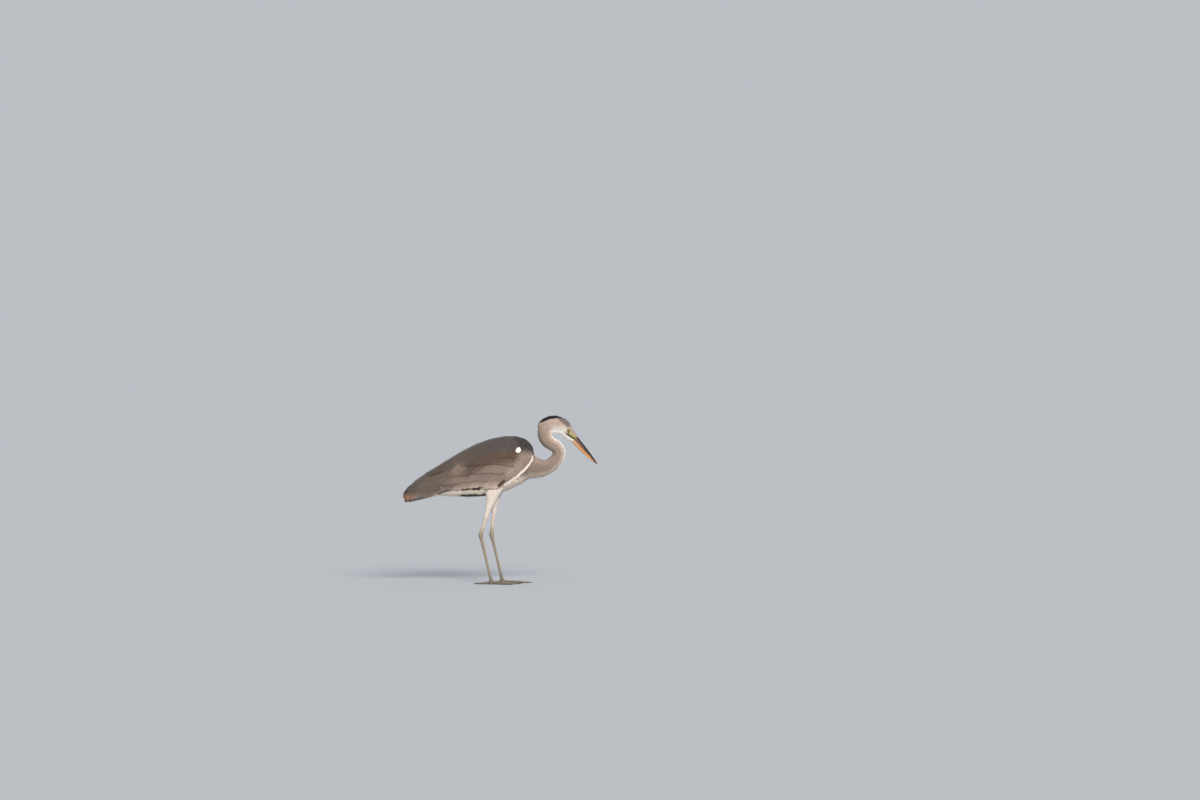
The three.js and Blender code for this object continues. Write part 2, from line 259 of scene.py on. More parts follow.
def triangles_of(piece):
    piece.data.calc_loop_triangles()
    return read(piece.data.loop_triangles, "vertices", np.int64)


def faced(places, triangles):
    """The way each triangle faces, as long as twice its area."""
    a, b, c = np.moveaxis(places[triangles], 1, 0)
    return np.cross(b - a, c - a)


def evened(values, triangles, rounds):
    """Values held at the points of a mesh, shared out among neighbours a number of times."""
    ends = np.concatenate([triangles[:, [0, 1]], triangles[:, [1, 2]], triangles[:, [2, 0]]])
    first = np.concatenate([ends[:, 0], ends[:, 1]])
    second = np.concatenate([ends[:, 1], ends[:, 0]])
    count = np.maximum(np.bincount(first, minlength=len(values)), 1)
    columns = values.reshape(len(values), -1).T.copy()
    for _ in range(rounds):
        for column in columns:
            column[:] = 0.5 * column + 0.5 * np.bincount(first, column[second], len(values)) / count
    return columns.T.reshape(values.shape)


class Surface:
    """A mesh to lay things on. It gives the nearest place, a softened normal and the triangle's number."""

    def __init__(self, places, triangles, soften=8):
        self.places = places
        self.triangles = triangles
        self.tree = BVHTree.FromPolygons(places.tolist(), triangles.tolist(), all_triangles=True)
        facing = np.repeat(faced(places, triangles), 3, axis=0)
        normals = np.stack([np.bincount(triangles.ravel(), part, len(places)) for part in facing.T], 1)
        self.normals = unit(evened(unit(normals), triangles, soften))

    def shares(self, spots, faces):
        """How much of each corner of its triangle a place has."""
        a, b, c = np.moveaxis(self.places[self.triangles[faces]], 1, 0)
        whole = np.cross(b - a, c - a)
        size = np.maximum((whole * whole).sum(1), 1e-30)
        of_a = (np.cross(c - b, spots - b) * whole).sum(1) / size
        of_b = (np.cross(a - c, spots - c) * whole).sum(1) / size
        return np.clip(np.stack([of_a, of_b, 1 - of_a - of_b], 1), 0, 1)

    def nearest(self, targets):
        found = [self.tree.find_nearest(target) for target in targets.reshape(-1, 3).tolist()]
        spots = np.array([hit[0][:] for hit in found])
        faces = np.array([hit[2] for hit in found])
        shares = self.shares(spots, faces)[:, :, None]
        normals = unit((self.normals[self.triangles[faces]] * shares).sum(1))
        return spots.reshape(targets.shape), normals.reshape(targets.shape), faces.reshape(targets.shape[:-1])


form_body = united(*[twin_of(casting) for casting in (body_form, head_form, leg_form)])
form = Surface(points_of(form_body), triangles_of(form_body))
bpy.data.objects.remove(form_body)

FLESH = BODY + ["head"] + LEGS
KIND = np.array([node.rsplit("_", 1)[0] for node in FLESH])  # as wing_left and wing_right are both a wing
flesh_places = [points_of(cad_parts[node]) for node in FLESH]
flesh_triangles = [triangles_of(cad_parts[node]) for node in FLESH]
first_point = np.cumsum([0] + [len(places) for places in flesh_places])
flesh = BVHTree.FromPolygons(
    np.concatenate(flesh_places).tolist(),
    np.concatenate([found + start for found, start in zip(flesh_triangles, first_point)]).tolist(),
    all_triangles=True,
)
node_of_triangle = np.repeat(np.arange(len(FLESH)), [len(found) for found in flesh_triangles])


def kind_at(places):
    """What part of the bird each place belongs to: wing, neck, head, toe_inner and so on."""
    near = [flesh.find_nearest(place)[2] for place in places.tolist()]
    return KIND[node_of_triangle[near]]


form_kinds = kind_at(form.places)
triangle_kinds = form_kinds[form.triangles[:, 0]]


def kinds_near(places):
    """What part of the bird's outside each place lies under."""
    return triangle_kinds[form.nearest(places)[2]]


# ---- Lie of the coat ----
# Feathers point away from the bill, along a line through the middle of head, neck and body, and down the
# thighs.
SPINE_MM = [
    (243, 471), (231, 482), (212, 499), (190, 514), (165, 518), (150, 508), (146, 494), (150, 471),
    (167, 455), (187, 443), (191.5, 419), (172, 390), (143, 376.5), (105, 380), (60, 392), (0, 385),
    (-80, 368), (-160, 345), (-240, 318), (-312, 275),
]
FIRST_OF_BODY = 12  # the stretch of the spine where the neck enters the body
SPINE_BLEND_MM = 12.0
DOWN_THIGH = unit(np.array([-0.12, 0.0, -1.0]))


def lie_of_coat(places, kinds):
    """At each place: the way its feathers point, the way to the underside, and the distance from the bill
    in mm."""
    side_view = places[:, [0, 2]] / MM
    knots = np.array(SPINE_MM, dtype=float)
    starts = knots[:-1]
    runs = np.diff(knots, axis=0)
    lengths = np.linalg.norm(runs, axis=1)
    ways = runs / lengths[:, None]
    passed = np.concatenate([[0], np.cumsum(lengths)[:-1]])
    from_start = side_view[:, None, :] - starts
    share = np.clip((from_start * ways).sum(2), 0, lengths)
    gap = ((from_start - share[:, :, None] * ways) ** 2).sum(2)
    front = np.isin(kinds, ("head", "neck"))
    order = np.arange(len(starts))
    gap = np.where(np.where(front[:, None], order <= FIRST_OF_BODY + 1, order >= FIRST_OF_BODY), gap, np.inf)
    weight = np.exp(-(gap - gap.min(1, keepdims=True)) / SPINE_BLEND_MM**2)
    weight /= weight.sum(1, keepdims=True)
    along = weight @ ways
    station = (weight * (share + passed)).sum(1)
    nothing = np.zeros(len(places))
    tailward = unit(np.stack([along[:, 0], nothing, along[:, 1]], 1))
    below = unit(np.stack([-along[:, 1], nothing, along[:, 0]], 1))
    thigh = kinds == "thigh"
    tailward[thigh] = DOWN_THIGH
    return tailward, below, station


# ---- Markings ----
# A bird in its first winter: smoky grey forecrown, black only on the rear crown, pale face, plain grey neck
# with a few dark streaks in front, brownish grey wings with a white front edge, and a rusty tip on the
# closed wings.
def tint(red, green, blue):
    """A paint chart's 0-255 values as linear light."""
    share = np.array((red, green, blue)) / 255
    return np.where(share <= 0.04045, share / 12.92, ((share + 0.055) / 1.055) ** 2.4)


def measured(line):
    """The points of a line, how far along it each one lies, and the lengths between them."""
    knots = np.array(line, dtype=float)
    lengths = np.linalg.norm(np.diff(knots, axis=0), axis=1)
    return knots, np.concatenate([[0], np.cumsum(lengths)]), lengths


def off_line(x, z, line):
    """Distance in side view from a line of points, and the share of the line's length passed, from 0 to 1."""
    knots, passed, lengths = measured(line)
    runs = np.diff(knots, axis=0)
    best = np.full(x.shape, np.inf)
    share = np.zeros(x.shape)
    for start, run, length, before in zip(knots, runs, lengths, passed):
        along = np.clip(((x - start[0]) * run[0] + (z - start[1]) * run[1]) / length, 0, length)
        gap = np.hypot(x - start[0] - along * run[0] / length, z - start[1] - along * run[1] / length)
        nearer = gap < best
        best = np.where(nearer, gap, best)
        share = np.where(nearer, (before + along) / passed[-1], share)
    return best, share


def height_of(line, x):
    """How high a line in side view runs at each x."""
    return np.interp(x, *np.array(line).T)


def inside(x, z, middle, radii, soft=0.35, lean=0.0):
    """1 within an ellipse in side view, fading out over its edge. It leans by that many degrees."""
    turn = math.radians(lean)
    along = ((x - middle[0]) * math.cos(turn) + (z - middle[1]) * math.sin(turn)) / radii[0]
    across = (-(x - middle[0]) * math.sin(turn) + (z - middle[1]) * math.cos(turn)) / radii[1]
    return 1 - step_between(np.hypot(along, across), 1 - soft, 1 + soft)


BACK_LINE_MM = [
    (-318, 300), (-291, 326), (-271, 342), (-252, 356), (-240, 364), (-190, 392), (-140, 424), (-80, 454),
    (-20, 475), (40, 481), (84, 465), (112, 434),
]
GAPE_MM = [(208, 495), (213, 489.5), (220, 483.5), (232, 475.5), (246, 467.5)]
WING_FRONT_MM = [
    (112, 424), (110, 412), (103, 397), (92, 382), (80, 370), (59, 351), (38, 336), (11, 317), (-4, 311),
]
WING_FOOT_MM = [(0, 312), (-70, 310), (-150, 304), (-205, 300)]
BELLY_LINE_MM = [(-42, 289), (-85, 288), (-124, 288)]
CROWN_EDGE_MM = [(178, 548), (191, 533), (203, 523), (214, 515), (218, 508), (226, 511), (240, 505)]
WHITE_FACE_MM = [(160, 497), (176, 498), (205, 497), (222, 484), (232, 476), (246, 467.5)]
CAP_MM = [(198, 540.5), (186, 544), (160, 542), (142, 533.5), (128, 525)]
CAP_HALF_MM = 6.1
LORES_TOP_MM = [(216, 491), (223, 495), (230, 492), (240, 485), (251, 478)]
EYE_X_MM, EYE_Z_MM = 223.0, 499.0

MANTLE = tint(74, 68, 65)
SHOULDER = tint(54, 49, 48)
MANTLE_REAR = tint(84, 74, 67)
COVERT_UPPER = tint(85, 69, 59)
COVERT_LOWER = tint(131, 115, 104)
COVERT_FRONT = tint(143, 125, 114)
TERTIAL = tint(102, 88, 78)
PALE_PATCH = tint(134, 114, 103)
WING_EDGE = tint(190, 169, 157)
RUST = tint(140, 98, 70)
QUILL = tint(79, 74, 74)
UNDER_WING = tint(92, 84, 79)
BREAST = tint(216, 199, 184)
BELLY = tint(226, 213, 197)
BELLY_STREAK = tint(62, 54, 49)
# A dark brown painted as shade in gaps: under the wing's edge, by the tertials and in the slot.
DARK_GAP_SHADE = tint(70, 54, 43)
WHITE = tint(250, 246, 239)
EDGE_WHITE = tint(240, 228, 216)
SPOT = tint(232, 226, 218)
END_SHADE = tint(64, 55, 50)
TAIL = tint(112, 101, 93)
THIGH = tint(222, 210, 200)
NECK_GREY = tint(152, 135, 123)
NECK_LOW = tint(130, 116, 106)
NAPE = tint(150, 133, 122)
NECK_UNDER = tint(186, 167, 153)
STREAK = tint(70, 60, 55)
CHEEK = tint(175, 155, 143)
FOREHEAD = tint(178, 161, 151)
CROWN = tint(92, 86, 83)
CAP = tint(26, 26, 30)
LORES = tint(163, 158, 92)
LORES_DARK = tint(84, 78, 42)
GAPE = tint(52, 46, 26)
LID = tint(122, 111, 70)
SHIN = tint(209, 190, 172)
TARSUS = tint(150, 136, 118)
TOE = tint(112, 103, 92)


def lores_share(x, z):
    """1 on the bare skin between the eye, the bill and the line of the gape."""
    above_gape = step_between(z - height_of(GAPE_MM, x), -1.0, 0.4)
    return above_gape * step_between(height_of(LORES_TOP_MM, x) - z, -0.3, 1.0) * step_between(x, 217, 221)


def overlay(colours, colour, mask):
    """Paints over the colours where the mask is 1."""
    colours += (colour - colours) * mask[:, None]


def markings(places, normals, kinds):
    """The plumage's or the bare skin's colour at each place."""
    x, y, z = places.T / MM
    below_back = height_of(BACK_LINE_MM, x) - z
    tailward, below, station = lie_of_coat(places, kinds)
    under = (normals * below).sum(1)
    colours = np.tile(MANTLE, (len(places), 1))

    # The folded wings and the back between them.
    overlay(colours, MANTLE_REAR, step_between(-x, 40, 130))
    overlay(colours, COVERT_UPPER, step_between(below_back, 32, 52) * step_between(x, -150, -60))
    overlay(colours, COVERT_LOWER, step_between(below_back, 68, 98))
    overlay(colours, COVERT_FRONT, step_between(below_back, 95, 130) * step_between(x, -60, 30))
    overlay(colours, COVERT_FRONT, inside(x, z, (84, 398), (30, 40), 0.45, -30))
    overlay(colours, TERTIAL, step_between(-x, 105, 200) * step_between(below_back, 14, 40))
    overlay(colours, SHOULDER, inside(x, z, (86, 462), (38, 24), 0.6, -38))
    overlay(colours, QUILL, step_between(-x, 238, 262) * step_between(34 - below_back, 0, 14))
    overlay(colours, PALE_PATCH, 0.8 * inside(x, z, (-132, 366), (22, 30), 0.5))
    edge, _ = off_line(x, z, WING_FOOT_MM)
    overlay(colours, WING_EDGE, 0.32 * (1 - step_between(edge, 22, 48)) * step_between(x, -190, -130))
    overlay(colours, WING_EDGE, 0.35 * inside(x, z, (46, 368), (30, 22), 0.5, 40))
    overlay(colours, WING_EDGE, 1 - step_between(edge, 7, 20))
    overlay(colours, RUST, step_between(-x, 278, 296) * step_between(-z, -297, -288))
    front, _ = off_line(x, z, WING_FRONT_MM)
    outer_wing = (kinds == "wing") * step_between(np.abs(y), 34, 40)
    overlay(colours, WHITE, (1 - step_between(front, 4.0, 7.0)) * outer_wing)

    # Breast, belly and tail.
    breast = (kinds == "trunk").astype(float)
    top = step_between(normals[:, 2], 0.35, 0.7) * step_between(-below_back, -60, -20)
    overlay(colours, BREAST, breast * (1 - top))
    overlay(colours, BELLY, breast * step_between(-x, -20, 30) * (1 - top))
    overlay(colours, NECK_LOW, breast * step_between(z, 338, 362) * step_between(x, 20, 60))
    # Painted shade in the gap under the wing's lower edge, over the dark feathers of the flank.
    flank = breast * step_between(-x, 48, 66) * (1 - step_between(-x, 150, 190))
    overlay(colours, DARK_GAP_SHADE, flank * step_between(np.abs(y), 10, 16) * step_between(z, 303.5, 307))
    streak, _ = off_line(x, z, BELLY_LINE_MM)
    streaked = (1 - step_between(streak, 3.4, 5.6)) * step_between(np.abs(y), 8, 14)
    overlay(colours, BELLY_STREAK, breast * streaked)
    tail = (kinds == "tail").astype(float)
    overlay(colours, TAIL, tail)
    overlay(colours, BELLY, tail * step_between(-normals[:, 2], 0.3, 0.7) * step_between(x, -250, -225))
    overlay(colours, RUST, tail * step_between(-x, 276, 292))
    # The backward-facing ends of the tail and the wing tips are painted dark as shade.
    on_end = np.isin(kinds, ("tail", "wing_tip"))
    overlay(colours, END_SHADE, on_end * step_between(-normals[:, 0], 0.55, 0.8))
    under_wing = np.isin(kinds, ("wing", "wing_tip")) * step_between(-normals[:, 2], 0.45, 0.8)
    overlay(colours, UNDER_WING, under_wing)
    overlay(colours, THIGH, (kinds == "thigh").astype(float))

    # The neck: grey behind and at the sides, whitish in front with short dark streaks down its two edges.
    neck = (kinds == "neck").astype(float)
    overlay(colours, NECK_GREY, neck)
    overlay(colours, NECK_LOW, neck * step_between(station, 190, 300))
    overlay(colours, NAPE, neck * step_between(-under, 0.1, 0.7))
    overlay(colours, CHEEK, neck * (1 - step_between(station, 88, 130)))
    overlay(colours, NECK_UNDER, neck * step_between(under, 0.15, 0.65))
    overlay(colours, WHITE, neck * step_between(under, 0.72, 0.9))
    row = step_between(under, 0.62, 0.74) * (1 - step_between(under, 0.84, 0.93))
    dash = step_between(np.sin(station * 0.62 + 2.1 * np.sin(y * 0.9)), 0.35, 0.8)
    overlay(colours, STREAK, neck * row * dash * step_between(station, 150, 175) * 0.8)

    # The head.
    head = (kinds == "head").astype(float)
    overlay(colours, CHEEK, head)
    overlay(colours, NECK_GREY, head * step_between(station, 88, 130))
    throat = step_between(under, 0.2, 0.6) * step_between(x, 156, 172)
    overlay(colours, WHITE, head * throat)
    pale_cheek = step_between(x, 150, 185) * (1 - step_between(x, 214, 226)) * step_between(-z, -524, -500)
    overlay(colours, WHITE, 0.5 * head * pale_cheek)
    gape, _ = off_line(x, z, GAPE_MM)
    white_top = height_of(WHITE_FACE_MM, x)
    overlay(colours, WHITE, head * step_between(white_top - z, -5, 3))
    fleck = step_between(np.sin(1.6 * (0.6 * x + 0.8 * z) + 1.5 * np.sin(0.3 * station + y)), -0.8, 0.5)
    on_crown = step_between(z - height_of(CROWN_EDGE_MM, x), -4, 6)
    overlay(colours, CROWN, head * on_crown * (0.68 + 0.3 * fleck))
    overlay(colours, FOREHEAD, head * step_between(x, 224, 233) * step_between(z, 486, 496))
    cap, passed = off_line(x, z, CAP_MM)
    half_cap = CAP_HALF_MM * np.sqrt(np.clip(4 * np.clip(passed, 0.04, 1) * (0.98 - passed), 0, 1))
    overlay(colours, CAP, head * (1 - step_between(cap, half_cap - 1.2, half_cap + 1.2)) * (half_cap > 0.3))
    bare = lores_share(x, z)
    overlay(colours, LORES_DARK, head * bare)
    bright = step_between(gape + 0.8 * np.sin(0.9 * x + z), 4.6, 8.0) * step_between(x, 221, 229)
    overlay(colours, LORES, head * bare * bright)
    dark = (1 - step_between(gape, 2.0, 4.6)) * step_between(x, 209, 217) * (z > white_top - 1)
    overlay(colours, LORES_DARK, head * dark)
    overlay(colours, GAPE, head * (1 - step_between(gape, 0.6, 1.5)) * step_between(x, 206, 212))
    lid = np.hypot(x - EYE_X_MM, z - EYE_Z_MM)
    overlay(colours, LID, head * (1 - step_between(lid, 6.2, 7.0)) * (np.abs(y) > 5))

    # The bare legs.
    overlay(colours, SHIN, (kinds == "shin").astype(float))
    overlay(colours, TARSUS, (kinds == "tarsus") * 1.0)
    overlay(colours, TARSUS, (kinds == "shin") * (1 - step_between(z, 160, 196)))
    toe = np.char.startswith(kinds.astype(str), "toe") | (kinds == "foot")
    overlay(colours, TOE, toe * (1 - 0.7 * step_between(z, 9, 24)))
    overlay(colours, TOE, (kinds == "tarsus") * (1 - step_between(z, 10, 46)) * 0.8)
    return np.clip(colours, 0, 1)


# ---- Skin ----
# One skin over the whole bird, from the bill's base to the toes. It lies under the form by the depth of the
# coat, and comes out to it where the bird is bare: the lores, the lids, the shins, the shanks and the toes.
BILL_TO_HEAD = unit(np.array([-80.0, 0.0, 45.0]))
COAT_MM = {"head": 1.0, "neck": 1.8, "trunk": 3.6, "wing": 5.0, "wing_tip": 4.5, "tail": 3.0, "thigh": 2.2}
MOST_OF_THICKNESS = 0.3


def bare_share(places):
    """1 on the lores, the lids and at the bill's base."""
    x, y, z = places.T / MM
    lid = 1 - step_between(np.hypot(x - EYE_X_MM, z - EYE_Z_MM), 6.3, 7.0)
    gape = 1 - step_between(off_line(x, z, GAPE_MM)[0], 0.9, 1.8)
    return np.maximum(np.maximum(lid, lores_share(x, z)), gape)


def drawn_in(piece, rounds):
    """Moves a casting's surface in by the depth of the coat, evened out over the joins."""
    triangles = triangles_of(piece)
    places = points_of(piece)
    kinds = kind_at(places)
    depth = np.array([COAT_MM.get(kind, 0.0) for kind in kinds])
    head = kinds == "head"
    depth[head] *= 1 - bare_share(places[head])
    from_bill = (places / MM - BILL_BASE_MM) @ BILL_TO_HEAD
    depth[head] *= (0.25 + 0.75 * step_between(from_bill, 0, 14))[head]
    shin_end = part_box("thigh_right")[0].z
    above_shin = step_between(places[:, 2], shin_end, shin_end + 40 * MM)
    depth[kinds == "thigh"] *= (0.3 + 0.7 * above_shin)[kinds == "thigh"]
    surface = Surface(places, triangles, 6)
    inward = -surface.normals
    across = np.full(len(places), 1.0)
    for number, (place, way) in enumerate(zip(places.tolist(), inward.tolist())):
        start = Vector(place) + Vector(way) * 0.2 * MM
        hit = surface.tree.ray_cast(start, way)  # on to the far side
        if hit[0] is not None:
            across[number] = hit[3]
    depth = np.minimum(depth * MM, across * MOST_OF_THICKNESS)
    depth = evened(depth, triangles, rounds)
    move_points(piece, places + inward * depth[:, None])
    return piece


drawn_in(body_form, 14)
# The body ends well inside the tips of the tail and the folded wings.
END_X_MM, END_Z_MM = -285, 281
places = points_of(body_form)
past = np.clip(END_X_MM * MM - places[:, 0], 0, None)
places[:, 0] += 0.55 * past
places[:, 1] *= 1 - 12 * past
places[:, 2] += (END_Z_MM * MM - places[:, 2]) * 10 * past
move_points(body_form, places)
drawn_in(head_form, 5)
drawn_in(leg_form, 2)
shaped(body_form, "DECIMATE", ratio=0.5)
shaped(head_form, "DECIMATE", ratio=0.5)
LID_RADIUS_MM = 5.1
LID_THICK_MM = 0.72
lids = []
for side, turn in SIDES.items():
    # A bare rim round each eye, drawn out a little towards the bill.
    x, y, z = EYE_MM[side]
    pick()
    bpy.ops.mesh.primitive_torus_add(
        location=(x * MM, (y + turn * 3.75) * MM, z * MM),
        rotation=(math.pi / 2, math.radians(40), -turn * math.radians(9)),
        major_radius=LID_RADIUS_MM * MM,
        minor_radius=LID_THICK_MM * MM,
        major_segments=48,
        minor_segments=12,
    )
    lid = bpy.context.active_object
    lid.scale = (1.08, 1.0, 1.3)
    bpy.ops.object.transform_apply(location=True, rotation=True, scale=True)
    lids.append(lid)
skin = united(leg_form, body_form, head_form, *lids)
skin.name = "skin"

# The unwrap comes before the scales, so that its islands follow the plain form of the skin.
pick(skin)
bpy.ops.object.mode_set(mode="EDIT")
bpy.ops.mesh.select_all(action="SELECT")
bpy.ops.uv.smart_project(angle_limit=math.radians(66), island_margin=0.002)
bpy.ops.object.mode_set(mode="OBJECT")
skin.data.uv_layers[0].name = "OFBake"

# Broad plates cover the fronts of shins and shanks and the tops of the toes, and small six-sided scales the
# rest.
PLATE_PITCH_MM = {"shin": 4.6, "tarsus": 4.4}
TOE_PLATE_MM = 3.4
SCALE_MM = 2.7
PLATE_RELIEF_MM = 0.3
SCALE_RELIEF_MM = 0.22
LEG_RADIUS_MM = 5.0
ROW_PITCH = 0.866  # rows of six-sided scales lie this share of a scale apart
GAPE_DEPTH_MM = 0.8


def scale_grooves(places):
    """0 on a scale or plate and 1 in the grooves between them, with the relief of each place in mm."""
    nearest = np.full(len(places), np.inf)
    groove = np.zeros(len(places))
    relief = np.zeros(len(places))
    for node in LEGS:
        start, end = middle_line(node)
        kind = node.rsplit("_", 1)[0]
        length = np.linalg.norm(end - start)
        way = (end - start) / length
        flat = kind.startswith("toe") or kind == "foot"
        up = np.array([0.0, 0.0, 1.0] if flat else [1.0, 0.0, 0.0])
        front = unit(up - way * (up @ way))
        side = np.cross(way, front)
        from_start = places - start
        along = np.clip(from_start @ way, 0, length)
        out = from_start - along[:, None] * way
        gap = np.linalg.norm(out, axis=1)
        mine = gap < nearest
        nearest = np.where(mine, gap, nearest)
        angle = np.arctan2(out @ side, out @ front)
        s = along / MM
        plate = np.abs((s / PLATE_PITCH_MM.get(kind, TOE_PLATE_MM)) % 1 - 0.5) * 2
        plate_groove = step_between(plate, 0.74, 0.97)
        row = angle * LEG_RADIUS_MM / SCALE_MM / ROW_PITCH
        apart = np.full(len(places), np.inf)
        for shift in (0, 1):
            line = np.floor(row) + shift
            step = s / SCALE_MM + 0.5 * (line % 2)
            apart = np.minimum(apart, np.hypot((step + 0.5) % 1 - 0.5, (row - line) * ROW_PITCH))
        scale_groove = step_between(apart, 0.36, 0.56)
        facing = step_between(np.cos(angle), 0.15, 0.45)
        groove = np.where(mine, plate_groove * facing + scale_groove * (1 - facing), groove)
        sunk = PLATE_RELIEF_MM * plate_groove * facing + SCALE_RELIEF_MM * scale_groove * (1 - facing)
        relief = np.where(mine, sunk, relief)
    return groove, relief


def set_tint(piece, colours):
    layer = piece.data.attributes.new("Markings", "FLOAT_COLOR", "POINT")
    full = np.ones((len(colours), 4), dtype=np.float32)
    full[:, :3] = colours
    layer.data.foreach_set("color", full.ravel())


places = points_of(skin)
normals = read(skin.data.vertex_normals, "vector")
kinds = kinds_near(places)
on_leg = (places[:, 2] < shin_top + 12 * MM) & ~np.isin(kinds, ("trunk", "wing", "wing_tip", "tail"))
groove, relief = scale_grooves(places)
groove = groove * on_leg
from_gape = off_line(places[:, 0] / MM, places[:, 2] / MM, GAPE_MM)[0]
on_head = kinds == "head"
gape = (1 - step_between(from_gape, 0.2, 1.5)) * on_head * (np.abs(places[:, 1]) > 4 * MM)
places -= normals * (relief * on_leg * MM + gape * GAPE_DEPTH_MM * MM)[:, None]
places[:, 2] = np.maximum(places[:, 2], 0.05 * MM)  # just off the floor
move_points(skin, places)
skin_colours = markings(places, normals, kinds)
# The grooves between scales and plates are darkened as painted shade.
skin_colours *= (1 - 0.45 * groove)[:, None]
set_tint(skin, skin_colours)
pick(skin)
bpy.ops.object.shade_smooth()
skin_surface = Surface(points_of(skin), triangles_of(skin), 2)
skin_map = read(skin.data.uv_layers["OFBake"].data, "uv", width=2)
corner_map = skin_map[read(skin.data.loop_triangles, "loops", np.int64)]


class Strand:
    """One socket of a finish. Sums and products of strands add the Math nodes that work them out."""

    def __init__(self, finish, socket):
        self.finish = finish
        self.socket = socket

    def worked(self, operation, first, second):
        return self.finish.node("ShaderNodeMath", {"operation": operation}, [first, second])

    def __add__(self, other):
        return self.worked("ADD", self, other)

    def __sub__(self, other):
        return self.worked("SUBTRACT", self, other)

    def __rsub__(self, other):
        return self.worked("SUBTRACT", other, self)

    def __mul__(self, other):
        return self.worked("MULTIPLY", self, other)

    __radd__ = __add__
    __rmul__ = __mul__


class Finish:
    """A material with one Principled shader, built up from strands."""

    def __init__(self, name, **numbers):
        self.material = bpy.data.materials.new(name)
        self.material.use_nodes = True
        self.tree = self.material.node_tree
        self.tree.nodes.clear()
        self.shader = self.tree.nodes.new("ShaderNodeBsdfPrincipled")
        output = self.tree.nodes.new("ShaderNodeOutputMaterial")
        self.tree.links.new(self.shader.outputs["BSDF"], output.inputs["Surface"])
        for socket, value in numbers.items():
            self.shader.inputs[socket.replace("_", " ")].default_value = value

    def feed(self, socket, value):
        """Links a strand into a socket, or sets the socket to a plain value."""
        if isinstance(value, Strand):
            self.tree.links.new(value.socket, socket)
        elif value is not None:
            socket.default_value = value

    def node(self, kind, settings=None, values=(), output=0):
        """Adds a node, sets it, fills its inputs by place or by name, and gives back one of its outputs."""
        made = self.tree.nodes.new(kind)
        for setting, value in (settings or {}).items():
            setattr(made, setting, value)
        named = values.items() if isinstance(values, dict) else enumerate(values)
        for place, value in named:
            self.feed(made.inputs[place], value)
        return Strand(self, made.outputs[output])

    def set(self, **strands):
        for socket, value in strands.items():
            self.feed(self.shader.inputs[socket.replace("_", " ")], value)

    def place(self):
        return self.node("ShaderNodeTexCoord", output="Object")

    def painted(self):
        return self.node("ShaderNodeAttribute", {"attribute_name": "Markings"}, output="Color")

    def vector(self, operation, values, output=0):
        return self.node("ShaderNodeVectorMath", {"operation": operation}, values, output)

    def noise(self, vector, scale, detail):
        return self.node("ShaderNodeTexNoise", {}, {"Vector": vector, "Scale": scale, "Detail": detail})

    def shade(self, colour, strength):
        """A colour made lighter or darker all over by a strand round 1."""
        return self.vector("SCALE", {"Vector": colour, "Scale": strength})

    def blend(self, share, first, second):
        settings = {"data_type": "RGBA", "clamp_factor": True}
        return self.node("ShaderNodeMix", settings, {0: share, 6: first, 7: second}, output=2)

    def ramp(self, value, low, high):
        """0 below low, 1 above high."""
        values = {"Value": value, "From Min": low, "From Max": high}
        return self.node("ShaderNodeMapRange", {"interpolation_type": "SMOOTHSTEP"}, values)

    def bump(self, height, distance, strength):
        values = {"Strength": strength, "Distance": distance, "Height": height}
        return self.node("ShaderNodeBump", {}, values, output="Normal")


hide = Finish("bird_skin", Roughness=0.55, Specular_IOR_Level=0.35)
grain = hide.noise(hide.place(), 900.0, 3.0)
blotch = hide.noise(hide.place(), 90.0, 2.0)
hide.set(
    Base_Color=hide.shade(hide.painted(), 0.82 + 0.2 * grain + 0.16 * blotch),
    Roughness=0.48 + 0.2 * grain,
    Normal=hide.bump(grain, 0.25 * MM, 0.6),
)
skin.data.materials.clear()
skin.data.materials.append(hide.material)
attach(skin, "root")
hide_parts(*FLESH)

# ---- Eyes ----
# Each eye is a glass ball with a raised cornea over a pale yellow iris and a round black pupil. It sits in
# its socket behind the lids.
EYE_RADIUS_MM = 6.0
CORNEA_MM = 4.6
CORNEA_RISE_MM = 0.7
PUPIL_MM = 2.9
IRIS_MM = 4.7

glass = Finish("eye_glass", Roughness=0.04, Specular_IOR_Level=0.7, Coat_Weight=1.0, Coat_Roughness=0.02)
reach = glass.vector("SUBTRACT", [glass.place(), (EYE_X_MM * MM, 0, EYE_Z_MM * MM)])
flat = glass.vector("MULTIPLY", [reach, (1 / MM, 0, 1 / MM)])
radius = glass.vector("LENGTH", [flat], output="Value")
spokes = glass.noise(glass.vector("NORMALIZE", [flat]), 9.0, 3.0)
iris = glass.blend(spokes, (0.52, 0.35, 0.06, 1), (0.64, 0.49, 0.14, 1))
iris = glass.blend(glass.ramp(radius, 3.4, IRIS_MM), iris, (0.35, 0.18, 0.03, 1))
iris = glass.blend(glass.ramp(radius, PUPIL_MM - 0.15, PUPIL_MM + 0.15), (0.003, 0.003, 0.003, 1), iris)
iris = glass.blend(glass.ramp(radius, IRIS_MM - 0.15, IRIS_MM + 0.25), iris, (0.02, 0.016, 0.012, 1))
glass.set(Base_Color=iris)
for side, turn in SIDES.items():
    x, y, z = EYE_MM[side]
    pick()
    bpy.ops.mesh.primitive_uv_sphere_add(
        segments=48,
        ring_count=32,
        radius=EYE_RADIUS_MM * MM,
        location=(x * MM, y * MM, z * MM),
        rotation=(-turn * math.pi / 2, 0, 0),
    )
    eye = bpy.context.active_object
    bpy.ops.object.transform_apply(location=True, rotation=True, scale=True)
    eye.name = f"eyeball_{side}"
    ball = points_of(eye) / MM
    outward = np.hypot(ball[:, 0] - x, ball[:, 2] - z)
    in_front = (ball[:, 1] - y) * turn > 0
    ball[:, 1] += turn * (CORNEA_RISE_MM * np.clip(1 - (outward / CORNEA_MM) ** 2, 0, 1) ** 1.3 * in_front)
    move_points(eye, ball * MM)
    bpy.ops.object.shade_smooth()
    eye.data.materials.append(glass.material)
    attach(eye, "root")
    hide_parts(f"eye_{side}")

